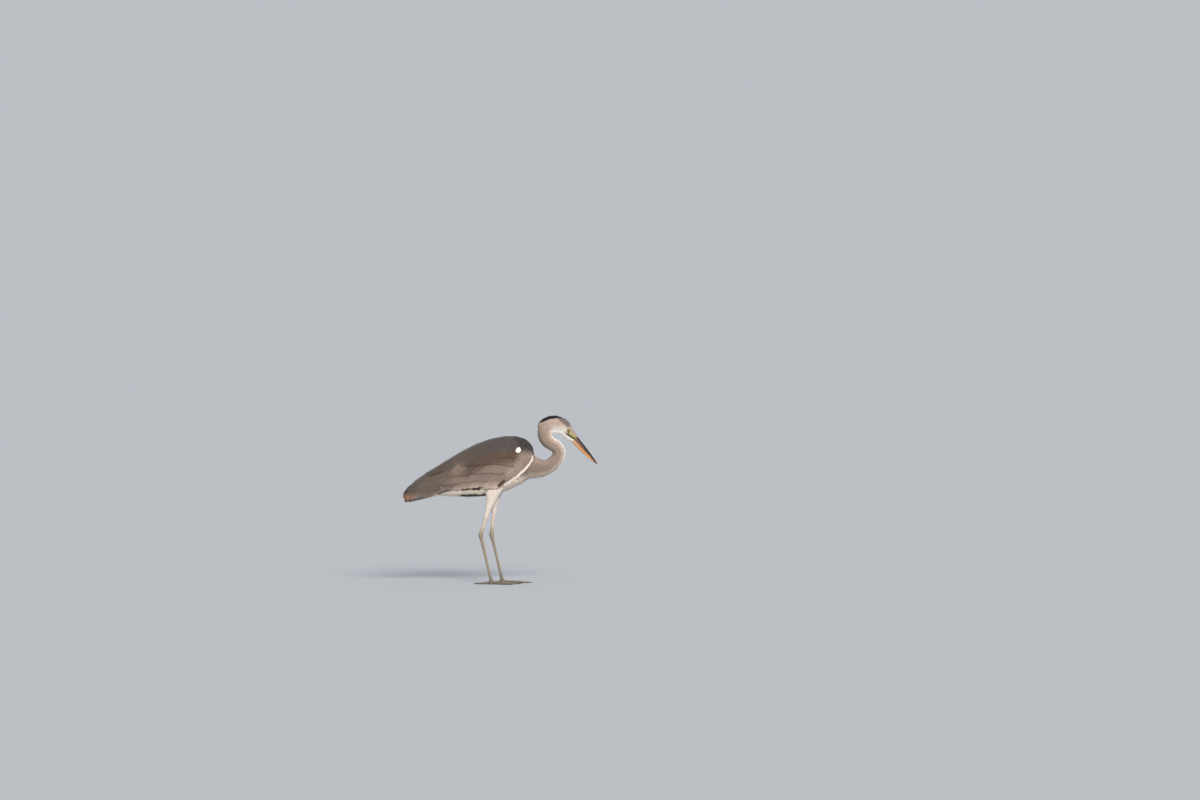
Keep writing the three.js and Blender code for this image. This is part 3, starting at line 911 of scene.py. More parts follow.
# ---- Bill ----
# Two mandibles of horn with a smooth gloss. The upper one is nearly black on the ridge and mauve brown at
# the sides of its base, with a slit of a nostril in a long shallow groove. The lower one is pale orange.
BILL_UP = np.array([-BILL_WAY[2], 0.0, BILL_WAY[0]])
NOSTRIL_MM = (9.0, 20.0)  # from the bill's base
GROOVE_END_MM = 58.0
BLACK_HORN = tint(32, 29, 29)
MAUVE_HORN = tint(121, 81, 71)
BROWN_HORN = tint(104, 74, 54)
ORANGE_HORN = tint(228, 160, 92)
PEACH_HORN = tint(214, 172, 132)
LOWER_TIP_HORN = tint(168, 120, 78)

BILL_SLOPE = math.atan2(-BILL_WAY[2], BILL_WAY[0])
BILL_LENGTH_MM = 118.0

horn = Finish("bill_horn", Roughness=0.28, Specular_IOR_Level=0.55, Coat_Weight=0.15, Coat_Roughness=0.15)
lengthwise = horn.node("ShaderNodeMapping", {}, {"Vector": horn.place(), "Rotation": (0, BILL_SLOPE, 0)})
fibres = horn.noise(horn.vector("MULTIPLY", [lengthwise, (60, 900, 900)]), 1.0, 3.0)
wear = horn.noise(horn.place(), 160.0, 3.0)
horn.set(
    Base_Color=horn.shade(horn.painted(), 0.78 + 0.26 * fibres + 0.18 * wear),
    Roughness=0.2 + 0.22 * wear,
    Normal=horn.bump(fibres, 0.1 * MM, 0.5),
)
for half in ("upper", "lower"):
    beak = run_together(cast(f"beak_{half}", [f"bill_{half}"], swell=0.15 * MM), 0.55, 22)
    places = points_of(beak)
    normals = read(beak.data.vertex_normals, "vector")
    # The root tapers and runs back into the head.
    into_head = 1 - step_between((places / MM - BILL_BASE_MM) @ BILL_WAY, 0, 7)
    outer = step_between((normals @ BILL_UP) * (1 if half == "upper" else -1), -0.6, 0.0)
    slimmer = normals * (0.2 * outer * into_head * MM)[:, None]
    places -= slimmer + BILL_WAY * (4.0 * into_head**3 * MM)[:, None]
    move_points(beak, places)
    from_base = places / MM - BILL_BASE_MM
    along = from_base @ BILL_WAY
    height = from_base @ BILL_UP
    beside = np.abs(places[:, 1] / MM)
    half_width = 9.0 * (1 - along / BILL_LENGTH_MM)
    if half == "upper":
        level = 3.4 - 0.03 * along
        inset = 1 - step_between(np.abs(height - level), 0.5, 1.5)
        inset *= step_between(along, 3, 9) * (1 - step_between(along, 38, GROOVE_END_MM))
        slit = 1 - step_between(np.abs(height - level), 0.25, 0.8)
        start, end = NOSTRIL_MM
        slit *= step_between(along, start, start + 2) * (1 - step_between(along, end - 2, end))
        sided = step_between(beside, 0.35 * half_width, 0.7 * half_width)
        places -= normals * ((0.45 * inset + 1.0 * slit) * sided * MM)[:, None]
        move_points(beak, places)
        colours = np.tile(BLACK_HORN, (len(places), 1))
        side_top = 6.6 - 0.09 * along
        low = 1 - step_between(height, side_top - 1.2, side_top + 1.2)
        overlay(colours, BROWN_HORN, low)
        overlay(colours, MAUVE_HORN, low * (1 - step_between(along, 22, 56)))
        overlay(colours, LORES_DARK, 0.8 * (1 - step_between(along + 0.3 * height, 1, 7)))
        overlay(colours, BLACK_HORN, 0.85 * slit * sided)
        # The upper mandible's lower edge is painted black as shade in the gap along the mouth.
        overlay(colours, BLACK_HORN, 1 - step_between(height, -1.6, -0.8))
    else:
        colours = np.tile(ORANGE_HORN, (len(places), 1))
        overlay(colours, PEACH_HORN, 1 - step_between(along - 0.8 * height, 12, 40))
        overlay(colours, LOWER_TIP_HORN, step_between(along, 70, 108))
        seam = -3.4 * (1 - step_between(along, 45, 80))
        overlay(colours, MAUVE_HORN, 0.8 * step_between(height, seam - 1.0, seam + 0.6))
        # The lower mandible's upper edge is painted darker as shade in the gap along the mouth.
        overlay(colours, BROWN_HORN, 0.7 * step_between(height, -1.4, -0.5))
    set_tint(beak, colours)
    shaped(beak, "DECIMATE", ratio=0.6)
    bpy.ops.object.shade_smooth()
    beak.data.materials.clear()
    beak.data.materials.append(horn.material)
    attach(beak, "root")
    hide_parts(f"bill_{half}")

# ---- Claws ----
# Four curved claws of dark horn to each foot, set into the ends of the toes.
claw_horn = Finish("claw_horn", Roughness=0.35, Specular_IOR_Level=0.5)
grain = claw_horn.noise(claw_horn.place(), 700.0, 3.0)
claw_horn.set(
    Base_Color=claw_horn.blend(grain, (0.018, 0.015, 0.013, 1), (0.07, 0.055, 0.045, 1)),
    Roughness=0.26 + 0.2 * grain,
    Normal=claw_horn.bump(grain, 0.1 * MM, 0.5),
)
for side in SIDES:
    nodes = [f"claw_{toe}_{side}" for toe in ("inner", "middle", "outer", "hind")]
    claws = cast(f"claws_{side}", nodes, swell=0.3 * MM)
    shaped(claws, "SUBSURF", levels=2, render_levels=2)
    claw_places = points_of(claws)
    for node in nodes:
        # The root of each claw runs on into its toe.
        toe_middle = points_of(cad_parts[node.replace("claw", "toe")]).mean(0)
        own = points_of(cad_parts[node])
        way = unit(own.mean(0) - toe_middle)
        along = (claw_places - toe_middle) @ way
        start, end = ((own - toe_middle) @ way).min(), ((own - toe_middle) @ way).max()
        mine = np.linalg.norm(claw_places - own.mean(0), axis=1) < 0.75 * (end - start) + 3 * MM
        into_toe = 1 - step_between(along, start, start + 0.45 * (end - start))
        claw_places -= way * (2.6 * MM * into_toe * mine)[:, None]
    claw_places[:, 2] = np.maximum(claw_places[:, 2], 0)
    move_points(claws, claw_places)
    bpy.ops.object.shade_smooth()
    claws.data.materials.clear()
    claws.data.materials.append(claw_horn.material)
    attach(claws, "root")
    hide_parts(*nodes)

# ---- Small feathers of the head ----
# Every feather of the bird is a thin closed vane, narrow at its root under the coat and lying along the
# form towards its tip, over the feathers behind it. Those of the head are the smallest, and shortest round
# the bill.
SMALL_VANE = [(0, 0), (0.16, 0.78), (0.5, 1.0), (0.86, 0.7), (1, 0)]  # shares of length and of half width
VANE_THICK_MM = 0.16
PATCH = 0.003  # how wide a feather's patch is on the skin's unwrap
TRIES = 6  # roots tried for each one that may find room
OWN_CHANGE = 0.55  # how far one feather follows the markings from its root to its tip

triangle_middles = form.places[form.triangles].mean(1)
triangle_back = height_of(BACK_LINE_MM, triangle_middles[:, 0] / MM) - triangle_middles[:, 2] / MM


def scattered(chosen, spacing_mm, rng):
    """Roots spread over the chosen triangles of the form, none nearer to another than the spacing."""
    spacing = np.broadcast_to(spacing_mm, chosen.shape)[chosen] * MM
    numbers = np.flatnonzero(chosen)
    area = np.linalg.norm(faced(form.places, form.triangles[numbers]), axis=1) / 2
    wanted = TRIES * area / spacing**2
    picked = rng.choice(len(numbers), int(wanted.sum()), p=wanted / wanted.sum())
    first, second = rng.random((2, len(picked), 1))
    fold = first + second > 1
    first, second = np.where(fold, 1 - first, first), np.where(fold, 1 - second, second)
    a, b, c = np.moveaxis(form.places[form.triangles[numbers[picked]]], 1, 0)
    spots = a + first * (b - a) + second * (c - a)
    cell = spacing.max()
    taken = {}
    kept = []
    for number, (spot, gap) in enumerate(zip(spots.tolist(), spacing[picked].tolist())):
        i, j, k = (int(value // cell) for value in spot)
        cells = itertools.product((i - 1, i, i + 1), (j - 1, j, j + 1), (k - 1, k, k + 1))
        if all(math.dist(spot, other) >= gap for near in cells for other in taken.get(near, ())):
            taken.setdefault((i, j, k), []).append(spot)
            kept.append(number)
    return spots[kept], numbers[picked[kept]]


def lay(surface, roots, tips, widths, outline, across, sunk, lift, camber=0.0, tilt=0.0, rise=1.6):
    """Lays feathers on a surface from their roots to their tips. Sizes are in mm. A feather's root is sunk
    under the surface and its tip lifted from it. It is curved across by its camber, and stands higher on one
    side by its tilt."""
    steps, shares = np.array(outline).T
    middle, up, _ = surface.nearest(roots[:, None] + (tips - roots)[:, None] * steps[None, :, None])
    along = unit(np.gradient(middle, axis=1))
    aside = unit(np.cross(up, along))
    u = np.linspace(-1, 1, across)
    reach = (np.reshape(widths, (-1, 1)) / 2 * MM * shares)[:, :, None] * u
    spots, normals, _ = surface.nearest(middle[:, :, None] + aside[:, :, None] * reach[..., None])
    height = np.reshape(lift, (-1, 1)) * steps - np.reshape(sunk, (-1, 1)) * (1 - steps) ** rise
    height = height[:, :, None] - camber * u**2 * shares[:, None] + tilt * u * shares[:, None]
    return {"places": spots + normals * (height * MM)[..., None], "normals": normals, "outline": outline}


def coloured(batch, rng, spread=0.05, kinds=None, paint=None):
    """Gives each feather the markings of the place where it lies, each a little lighter or darker."""
    shaft = batch["places"].shape[2] // 2
    places, normals = batch["places"][:, :, shaft], batch["normals"][:, :, shaft]
    count, stations = places.shape[:2]
    if paint is None:
        seen = int(np.searchsorted([step for step, _ in batch["outline"]], 0.5))
        kinds = kinds_near(places[:, seen]) if kinds is None else kinds
        shown = markings(places.reshape(-1, 3), normals.reshape(-1, 3), np.repeat(kinds, stations))
        shown = shown.reshape(count, stations, 3)
        own = shown[:, seen : seen + 1]
        paint = own + OWN_CHANGE * (shown - own)
    lots = np.exp(rng.normal(0, spread, (count, 1, 1)))
    batch["colours"] = np.clip(np.broadcast_to(paint, (count, stations, 3)) * lots, 0, 1)
    return batch


def tract(chosen, spacing, length, width, outline, across, sunk, lift, camber, seed, stray=6.0, loose=0.06):
    """Feathers scattered over part of the form. Length and width may differ from triangle to triangle."""
    rng = np.random.default_rng(seed)
    roots, faces = scattered(chosen, spacing, rng)
    kinds = triangle_kinds[faces]
    normals = unit(form.normals[form.triangles[faces]].sum(1))
    way = lie_of_coat(roots, kinds)[0]
    way = unit(way - normals * (way * normals).sum(1, keepdims=True))
    angle = np.radians(rng.normal(0, stray, (len(roots), 1)))
    way = way * np.cos(angle) + np.cross(normals, way) * np.sin(angle)
    size = np.exp(rng.normal(0, 0.1, len(roots)))
    lengths = np.broadcast_to(length, chosen.shape)[faces] * size
    widths = np.broadcast_to(width, chosen.shape)[faces] * size
    tips = roots + way * (lengths * MM)[:, None]
    lifted = lift + rng.normal(0, loose, len(roots))
    depth = np.linalg.norm(roots - skin_surface.nearest(roots)[0], axis=1) / MM
    rooted = np.clip(0.95 * depth, 0.15, sunk)
    return coloured(lay(form, roots, tips, widths, outline, across, rooted, lifted, camber, 0.0, 2.4), rng)


def vane_points(batch):
    """The points of a batch of feathers as closed vanes, with their places across and along each one."""
    steps, _ = np.array(batch["outline"]).T
    grid, normals = batch["places"], batch["normals"]
    count, stations, across = grid.shape[:3]
    u = np.linspace(-1, 1, across)
    half = VANE_THICK_MM / 2 * MM * np.sqrt(1 - u**2)[:, None]
    upper = grid[:, 1:-1] + normals[:, 1:-1] * half
    lower = (grid[:, 1:-1] - normals[:, 1:-1] * half)[:, :, 1:-1][:, :, ::-1]
    rings = np.concatenate([upper, lower], 2)
    around = rings.shape[2]
    middle = across // 2
    ends = grid[:, [0, -1], middle]
    points = np.concatenate([ends[:, :1], rings.reshape(count, -1, 3), ends[:, 1:]], 1)
    ring_u = np.concatenate([u, u[1:-1][::-1]])
    across_share = np.concatenate([[0.5], np.tile((ring_u + 1) / 2, stations - 2), [0.5]])
    along_share = np.concatenate([[0.0], np.repeat(steps[1:-1], around), [1.0]])
    tints = batch["colours"]
    tints = np.concatenate([tints[:, :1], np.repeat(tints[:, 1:-1], around, axis=1), tints[:, -1:]], 1)
    return points, tints, across_share, along_share, around


def vane_faces(rings, around):
    """Four-sided faces and end triangles of one vane."""
    ring = np.arange(around)
    after = (ring + 1) % around
    sides = []
    for number in range(rings - 1):
        low = 1 + number * around
        sides.append(np.stack([low + ring, low + around + ring, low + around + after, low + after], 1))
    last = 1 + (rings - 1) * around
    tip = np.full(around, 1 + rings * around)
    root_end = np.stack([np.zeros(around, int), 1 + ring, 1 + after], 1)
    tip_end = np.stack([last + ring, tip, last + after], 1)
    return np.concatenate(sides), np.concatenate([root_end, tip_end])


def coat(name, batches, finish, tiles=False):
    """Joins batches of feathers into one piece, with a map for the finish and one for its place on the skin's
    unwrap. With tiles, each feather has a square of its own there instead."""
    points, colours, vane_map, root_map, quads, ends = [], [], [], [], [], []
    start = 0
    for number, batch in enumerate(batches):
        found, tints, across_share, along_share, around = vane_points(batch)
        count, size = found.shape[:2]
        quad, end = vane_faces(len(batch["outline"]) - 2, around)
        shift = (start + size * np.arange(count))[:, None, None]
        quads.append((quad + shift).reshape(-1, 4))
        ends.append((end + shift).reshape(-1, 3))
        points.append(found.reshape(-1, 3))
        colours.append(tints.reshape(-1, 3))
        lot = (np.arange(count) + 7 * number) % 50
        along_all = np.broadcast_to(along_share, (count, size))
        vane_map.append(np.stack([across_share + lot[:, None], along_all], 2).reshape(-1, 2))
        spots, _, faces = skin_surface.nearest(batch["places"][:, 0, 0])
        roots = (corner_map[faces] * skin_surface.shares(spots, faces)[:, :, None]).sum(1)
        root_map.append((roots, np.stack([across_share, along_share], 1)))
        start += count * size
    roots = np.concatenate([found for found, _ in root_map])
    if tiles:
        side = math.ceil(math.sqrt(len(roots)))
        order = np.arange(len(roots))
        low = np.stack([order % side, order // side], 1) / side
        patch, low = 0.92 / side, 0.02 + 0.96 * (low + 0.04 / side)
    else:
        low = 0.02 + 0.957 * (roots - roots.min(0)) / np.ptp(roots, axis=0)
        patch = PATCH
    bake_map = []
    done = 0
    for found, shares in root_map:
        mine = low[done : done + len(found)]
        bake_map.append((mine[:, None] + patch * shares[None]).reshape(-1, 2))
        done += len(found)
    quads, ends = np.concatenate(quads), np.concatenate(ends)
    loops = np.concatenate([quads.ravel(), ends.ravel()]).astype(np.int32)
    starts = np.concatenate([np.arange(len(quads)) * 4, len(quads) * 4 + np.arange(len(ends)) * 3])
    mesh = bpy.data.meshes.new(name)
    mesh.vertices.add(start)
    mesh.vertices.foreach_set("co", np.concatenate(points).astype(np.float32).ravel())
    mesh.loops.add(len(loops))
    mesh.loops.foreach_set("vertex_index", loops)
    mesh.polygons.add(len(starts))
    mesh.polygons.foreach_set("loop_start", starts.astype(np.int32))
    mesh.update(calc_edges=True)
    piece = bpy.data.objects.new(name, mesh)
    bpy.context.collection.objects.link(piece)
    for title, values in (("vane", vane_map), ("OFBake", bake_map)):
        layer = mesh.uv_layers.new(name=title)
        layer.data.foreach_set("uv", np.concatenate(values)[loops].astype(np.float32).ravel())
    mesh.uv_layers["vane"].active_render = True
    set_tint(piece, np.concatenate(colours))
    mesh.validate()
    pick(piece)
    bpy.ops.object.shade_smooth_by_angle(angle=math.radians(60))
    mesh.materials.append(finish.material)
    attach(piece, "root")
    return piece


def plumage(name, roughness, barbs, shaft, fringe, relief):
    """A feather's finish: barbs run out from the shaft towards the tip, and the fringe is a little paler."""
    finish = Finish(name, Specular_IOR_Level=0.25, Sheen_Weight=0.12, Sheen_Roughness=0.5)
    map_place = finish.node("ShaderNodeUVMap", {"uv_map": "vane"})
    across = finish.node("ShaderNodeSeparateXYZ", {}, [map_place])
    along = finish.node("ShaderNodeSeparateXYZ", {}, [map_place], output=1)
    local = finish.node("ShaderNodeMath", {"operation": "FRACT"}, [across])
    aside = finish.node("ShaderNodeMath", {"operation": "ABSOLUTE"}, [local - 0.5])
    barb_place = [(along - aside * 0.9) * barbs, aside * 2.5, across * 0.37]
    slant = finish.node("ShaderNodeCombineXYZ", {}, barb_place)
    streaks = finish.noise(slant, 1.0, 2.0)
    rim = finish.ramp(aside, 0.33, 0.5)
    quill = finish.ramp(aside, 0.045, 0.015)
    tone = 0.88 + 0.24 * streaks + fringe * rim - shaft * quill
    finish.set(
        Base_Color=finish.shade(finish.painted(), tone),
        Roughness=roughness + 0.12 * streaks,
        Normal=finish.bump(streaks + 0.4 * quill, relief * MM, 0.7),
    )
    return finish


down = plumage("small_feathers", 0.78, 26.0, 0.04, 0.06, 0.25)
from_bill = (triangle_middles / MM - BILL_BASE_MM) @ BILL_TO_HEAD
face = np.clip(from_bill / 85, 0, 1)
on_face = (triangle_kinds == "head") & (bare_share(triangle_middles) < 0.5) & (from_bill > -1.0)
finest = tract(
    on_face,
    spacing=1.05 + 0.8 * face,
    length=3.8 + 7.0 * face,
    width=1.15 + 1.1 * face,
    outline=SMALL_VANE,
    across=3,
    sunk=1.0,
    lift=-0.05,
    camber=0.08,
    seed=11,
    loose=0.03,
)
coat("head_feathers", [finest], down)

# ---- Neck feathers ----
# Soft narrow feathers, longer than those of the head, that lie close round the bends of the neck.
on_neck = triangle_kinds == "neck"
neck_station = lie_of_coat(triangle_middles, triangle_kinds)[2]
lower_neck = step_between(neck_station, 130, 300)
narrow = tract(
    on_neck,
    spacing=1.85 + 0.8 * lower_neck,
    length=11 + 8 * lower_neck,
    width=2.1 + 1.6 * lower_neck,
    outline=SMALL_VANE,
    across=3,
    sunk=1.8,
    lift=-0.05,
    camber=0.12,
    seed=12,
)
coat("neck_feathers", [narrow], down)

# ---- Breast, belly and thigh feathers ----
# Broad soft feathers, white to pale grey, whose ends stand off a little.
BROAD_VANE = [(0, 0), (0.1, 0.5), (0.38, 0.86), (0.66, 1.0), (0.86, 0.82), (0.96, 0.46), (1, 0)]
soft = plumage("body_feathers", 0.8, 34.0, 0.03, 0.05, 0.4)
top_of_back = (triangle_back < 48) & (triangle_kinds != "tail")
on_trunk = (triangle_kinds == "trunk") & ~top_of_back
on_thigh = (triangle_kinds == "thigh") & (triangle_middles[:, 2] < 316 * MM)
breast_batch = tract(on_trunk, 5.2, 25.0, 9.5, BROAD_VANE, 5, 4.2, 0.0, 0.4, seed=13)
coat("breast_feathers", [breast_batch], soft)
thigh_batch = tract(on_thigh, 3.0, 17.0, 4.6, SMALL_VANE, 3, 2.4, -0.05, 0.25, seed=14, loose=0.05)
coat("thigh_feathers", [thigh_batch], soft)

# ---- Back and lesser coverts ----
# Rounded grey feathers in scales over the back and shoulders, and smaller ones down the front of the wing.
firm = plumage("covert_feathers", 0.72, 42.0, 0.12, 0.1, 0.3)
triangle_x_mm = triangle_middles[:, 0] / MM
triangle_normals = form.normals[form.triangles].mean(1)
on_back = np.isin(triangle_kinds, ("wing", "trunk")) & top_of_back & (triangle_x_mm > -70)
on_shoulder = (triangle_kinds == "wing") & ~top_of_back & (triangle_x_mm > -70)
on_shoulder &= (triangle_back < 62) | (triangle_x_mm > 60)
under_wing = np.isin(triangle_kinds, ("wing", "wing_tip")) & (triangle_normals[:, 2] < -0.5)
on_rump = np.isin(triangle_kinds, ("wing", "wing_tip", "trunk")) & (triangle_back < 66)
on_rump &= (triangle_x_mm < -70) & (triangle_x_mm > -270)
back_batches = [
    tract(on_back, 6.6, 30.0, 13.0, BROAD_VANE, 5, 5.2, -0.1, 0.5, seed=15, stray=4.0),
    tract(on_rump, 7.5, 32.0, 15.0, BROAD_VANE, 5, 5.2, -2.6, 0.5, seed=17, stray=4.0),
]
coat("back_feathers", back_batches, firm)
on_shoulder &= ~under_wing
lesser = tract(on_shoulder, 5.2, 19.0, 9.5, BROAD_VANE, 5, 4.6, -0.2, 0.4, seed=16, stray=4.0)
coat("lesser_coverts", [lesser], firm)

# ---- Long feathers of the wings ----
# The folded wing's greater coverts, tertials, secondaries and primaries lie in rows, each feather partly
# under the next. They rest on a smooth sheet over the side of the wing, which hangs free below the wing's
# lower edge.
LONG_VANE = [
    (0, 0), (0.04, 0.34), (0.12, 0.62), (0.25, 0.85), (0.4, 0.97), (0.55, 1.0), (0.7, 0.98), (0.82, 0.9),
    (0.9, 0.74), (0.96, 0.5), (0.99, 0.24), (1, 0),
]
ROUND_VANE = [(0, 0), (0.05, 0.5), (0.2, 0.86), (0.5, 1.0), (0.8, 0.84), (0.95, 0.45), (1, 0)]
SHEET_STEP_MM = 6.0
SHEET_ROWS = 44
# Each row: how many feathers, the line of their roots, the line of their tips, width, sunk root and lifted
# tip. In the first row each feather also stands a good deal higher than the one before it.
FLIGHT_ROWS_MM = [
    (6, [(58, 352), (34, 356), (0, 356)], [(4, 316), (-14, 315), (-30, 314), (-47, 312)], 21, 5.0, -2.6, 0.3),
    (
        13,
        [(10, 350), (-60, 372), (-150, 360)],
        [(-38, 319), (-70, 322), (-104, 316), (-140, 310), (-172, 305), (-205, 302), (-238, 298)],
        25,
        5.8,
        -3.2,
    ),
    (
        8,
        [(-60, 380), (-50, 400), (-112, 398)],
        [(-246, 285), (-271, 289), (-275, 304), (-263, 324), (-240, 344)],
        34,
        5.0,
        -1.3,
    ),
]
COVERT_ROWS_MM = [
    (14, [(54, 380), (-20, 392), (-110, 392)], [(-2, 340), (-80, 338), (-205, 324)], 27, 5.0, -1.5),
    (15, [(78, 398), (0, 412), (-90, 414)], [(36, 362), (-60, 364), (-168, 352)], 23, 4.6, -0.9),
    (15, [(90, 420), (20, 434), (-50, 440)], [(58, 384), (-30, 396), (-128, 387)], 21, 4.2, -0.3),
]
# Roots and tips of the few feathers that stand out: one dark feather painted as the shadow between the
# tertials and the back, the round white mark on the shoulder, and two dark feathers in the slot behind
# the foot of the white edge, painted as the slot's shade over the dark patch that shows in it.
TERTIAL_GAP_SHADOW_MM = [(-184, 369)], [(-232, 352.5)]
WHITE_MARK_MM = [(68, 441.5), (66, 445), (67.5, 438)], [(51, 433), (54, 439.5), (55.5, 430)]
SHADED_SLOT_MM = [(17, 340), (15, 336)], [(-8, 322), (-6, 317.5)]


def evened_grid(values, rounds):
    """Evens out values held in rows and columns, first along the one and then along the other."""
    for _ in range(rounds):
        values[1:-1] = 0.5 * values[1:-1] + 0.25 * (values[:-2] + values[2:])
        values[:, 1:-1] = 0.5 * values[:, 1:-1] + 0.25 * (values[:, :-2] + values[:, 2:])


def sheet_through(grid, flipped):
    """A surface through places held in rows and columns."""
    rows, columns = grid.shape[:2]
    corner = (np.arange(rows - 1)[:, None] * columns + np.arange(columns - 1)).ravel()
    first = np.stack([corner, corner + columns, corner + columns + 1], 1)
    second = np.stack([corner, corner + columns + 1, corner + 1], 1)
    triangles = np.concatenate([first, second])
    return Surface(grid.reshape(-1, 3), triangles[:, ::-1].copy() if flipped else triangles, 3)


def wing_sheet(turn):
    """The outside of one folded wing, from just under the back line to below the wing's lower edge."""
    columns = np.arange(-318, 120, SHEET_STEP_MM)
    backs = height_of(BACK_LINE_MM, columns)
    grid = np.zeros((len(columns), SHEET_ROWS, 3))
    for number, (x, back) in enumerate(zip(columns, backs)):
        heights = np.linspace(back - 2, 268, SHEET_ROWS)
        slope = 0.12 + 0.6 * step_between(x, -30, 20)
        y = None
        for row, z in enumerate(heights):
            hit = form.tree.ray_cast((x * MM, turn * 0.3, z * MM), (0, -turn, 0))
            away = 0 if hit[0] is None else abs(hit[0].y)
            stand_off = 3.4 * MM * step_between(340 - z, 0, 16) * step_between(x, -215, -185)
            if away and triangle_kinds[hit[2]] in ("wing", "wing_tip"):
                y = away + stand_off
            elif y is not None:
                over = 5.5 if away and triangle_kinds[hit[2]] == "thigh" and z > 306 else 1.0
                y = max(y - slope * (heights[0] - heights[1]) * MM, away + over * MM)
            grid[number, row] = (x * MM, turn * (y or 0.0), z * MM)
    known = np.flatnonzero(np.abs(grid[:, :, 1]).max(1) > 8 * MM)
    for row in range(SHEET_ROWS):
        grid[:, row, 1] = np.interp(columns, columns[known], grid[known, row, 1])
    evened_grid(grid[:, :, 1], 4)
    return sheet_through(grid, turn < 0)


def at_stops(stops, passed, knots):
    """Points of a line at stops along it."""
    return np.stack([np.interp(stops, passed, knots[:, axis]) for axis in (0, 1)], 1)


def evenly(ends, count):
    """A number of points along a line, with equal steps between each two of its own points."""
    ends = np.array(ends, dtype=float)
    return at_stops(np.linspace(0, len(ends) - 1, count), np.arange(len(ends)), ends)


def on_side(surface, turn, points):
    """Where points of the side view lie on one side of the bird."""
    found = []
    for x, z in points:
        hit = surface.tree.ray_cast((x * MM, turn * 0.3, z * MM), (0, -turn, 0))[0]
        found.append(hit or surface.tree.find_nearest((x * MM, turn * 0.02, z * MM))[0])
    return np.array([spot[:] for spot in found])


def on_top(points):
    """Where points seen from above lie on the back."""
    return np.array([form.tree.ray_cast((x * MM, y * MM, 1.0), (0, 0, -1))[0][:] for x, y in points])


def wing_row(surface, turn, rng, count, roots, tips, width, sunk, lift, step=0.05):
    """One row of long feathers, each a little higher than the one in front of it."""
    wander = rng.normal(0, 1.6, (count, 2))
    starts = on_side(surface, turn, evenly(roots, count))
    ends = on_side(surface, turn, evenly(tips, count) + wander)
    widths = width * np.exp(rng.normal(0, 0.04, count))
    higher = step * np.arange(count)
    sunk, lift = sunk - higher, lift + higher
    batch = lay(surface, starts, ends, widths, LONG_VANE, 7, sunk, lift, 0.5, -0.5 * turn, 1.2)
    return coloured(batch, rng, 0.05, np.full(count, "wing"))


def edge_row(surface, turn, rng, line, offset, count, length, width):
    """A row of small feathers along an edge, some way in from it. The nearest rows are white."""
    knots, passed, _ = measured(line)
    stops = (np.arange(count) + 0.5 * (int(offset) % 2)) / count * (passed[-1] - length)
    starts = at_stops(stops, passed, knots)
    ends = at_stops(stops + length, passed, knots)
    way = unit(ends - starts)
    inward = np.stack([way[:, 1], -way[:, 0]], 1) * offset
    wander = rng.normal(0, 0.5, (count, 2))
    roots = on_side(surface, turn, starts + inward * 1.25)
    tips = on_side(surface, turn, ends + inward * 0.95 + wander)
    widths = np.full(count, width)
    batch = lay(surface, roots, tips, widths, BROAD_VANE, 5, 2.2, 0.9 - 0.05 * offset, 0.3, 0.0, 2.0)
    paint = EDGE_WHITE[None, None] if offset < 5 else None
    return coloured(batch, rng, 0.04, np.full(count, "wing"), paint)


def mark(surface, turn, rng, roots, tips, widths, outline, across, sunk, lift, colour):
    """A few feathers of one plain colour."""
    starts, ends = on_side(surface, turn, roots), on_side(surface, turn, tips)
    batch = lay(surface, starts, ends, widths, outline, across, sunk, lift)
    return coloured(batch, rng, 0.03, paint=colour[None, None])


sleek = plumage("long_feathers", 0.55, 90.0, 0.22, 0.09, 0.25)
sheets = {side: wing_sheet(turn) for side, turn in SIDES.items()}
for side, turn in SIDES.items():
    rng = np.random.default_rng(20 + turn)
    sheet = sheets[side]
    long_ones = [wing_row(sheet, turn, rng, *row) for row in FLIGHT_ROWS_MM]
    # One dark feather painted as the shadow between the tertials and the back.
    roots, tips = TERTIAL_GAP_SHADOW_MM
    long_ones.append(mark(sheet, turn, rng, roots, tips, [6.0], LONG_VANE, 7, 0.6, 1.0, DARK_GAP_SHADE))
    coat(f"flight_feathers_{side}", long_ones, sleek, tiles=True)
    rows = [wing_row(sheet, turn, rng, *row) for row in COVERT_ROWS_MM]
    for offset in (25.0, 20.5, 16.0, 11.5, 7.5):
        rows.append(edge_row(form, turn, rng, WING_FRONT_MM, offset, 40 - round(offset / 2.5), 17, 7))
    for offset in (4.4, 2.9, 1.4):
        rows.append(edge_row(form, turn, rng, WING_FRONT_MM[:-1], offset, 24, 27, 6.4))
    roots, tips = WHITE_MARK_MM
    rows.append(mark(form, turn, rng, roots, tips, [13.0, 8.5, 8.0], ROUND_VANE, 5, 0.2, 1.5, SPOT))
    # Two dark feathers in the slot behind the white edge, painted as its shade over the dark patch seen
    # there.
    roots, tips = SHADED_SLOT_MM
    rows.append(mark(sheet, turn, rng, roots, tips, [6.5, 5.5], ROUND_VANE, 5, -0.8, 1.6, DARK_GAP_SHADE))
    coat(f"great_coverts_{side}", rows, firm, tiles=True)

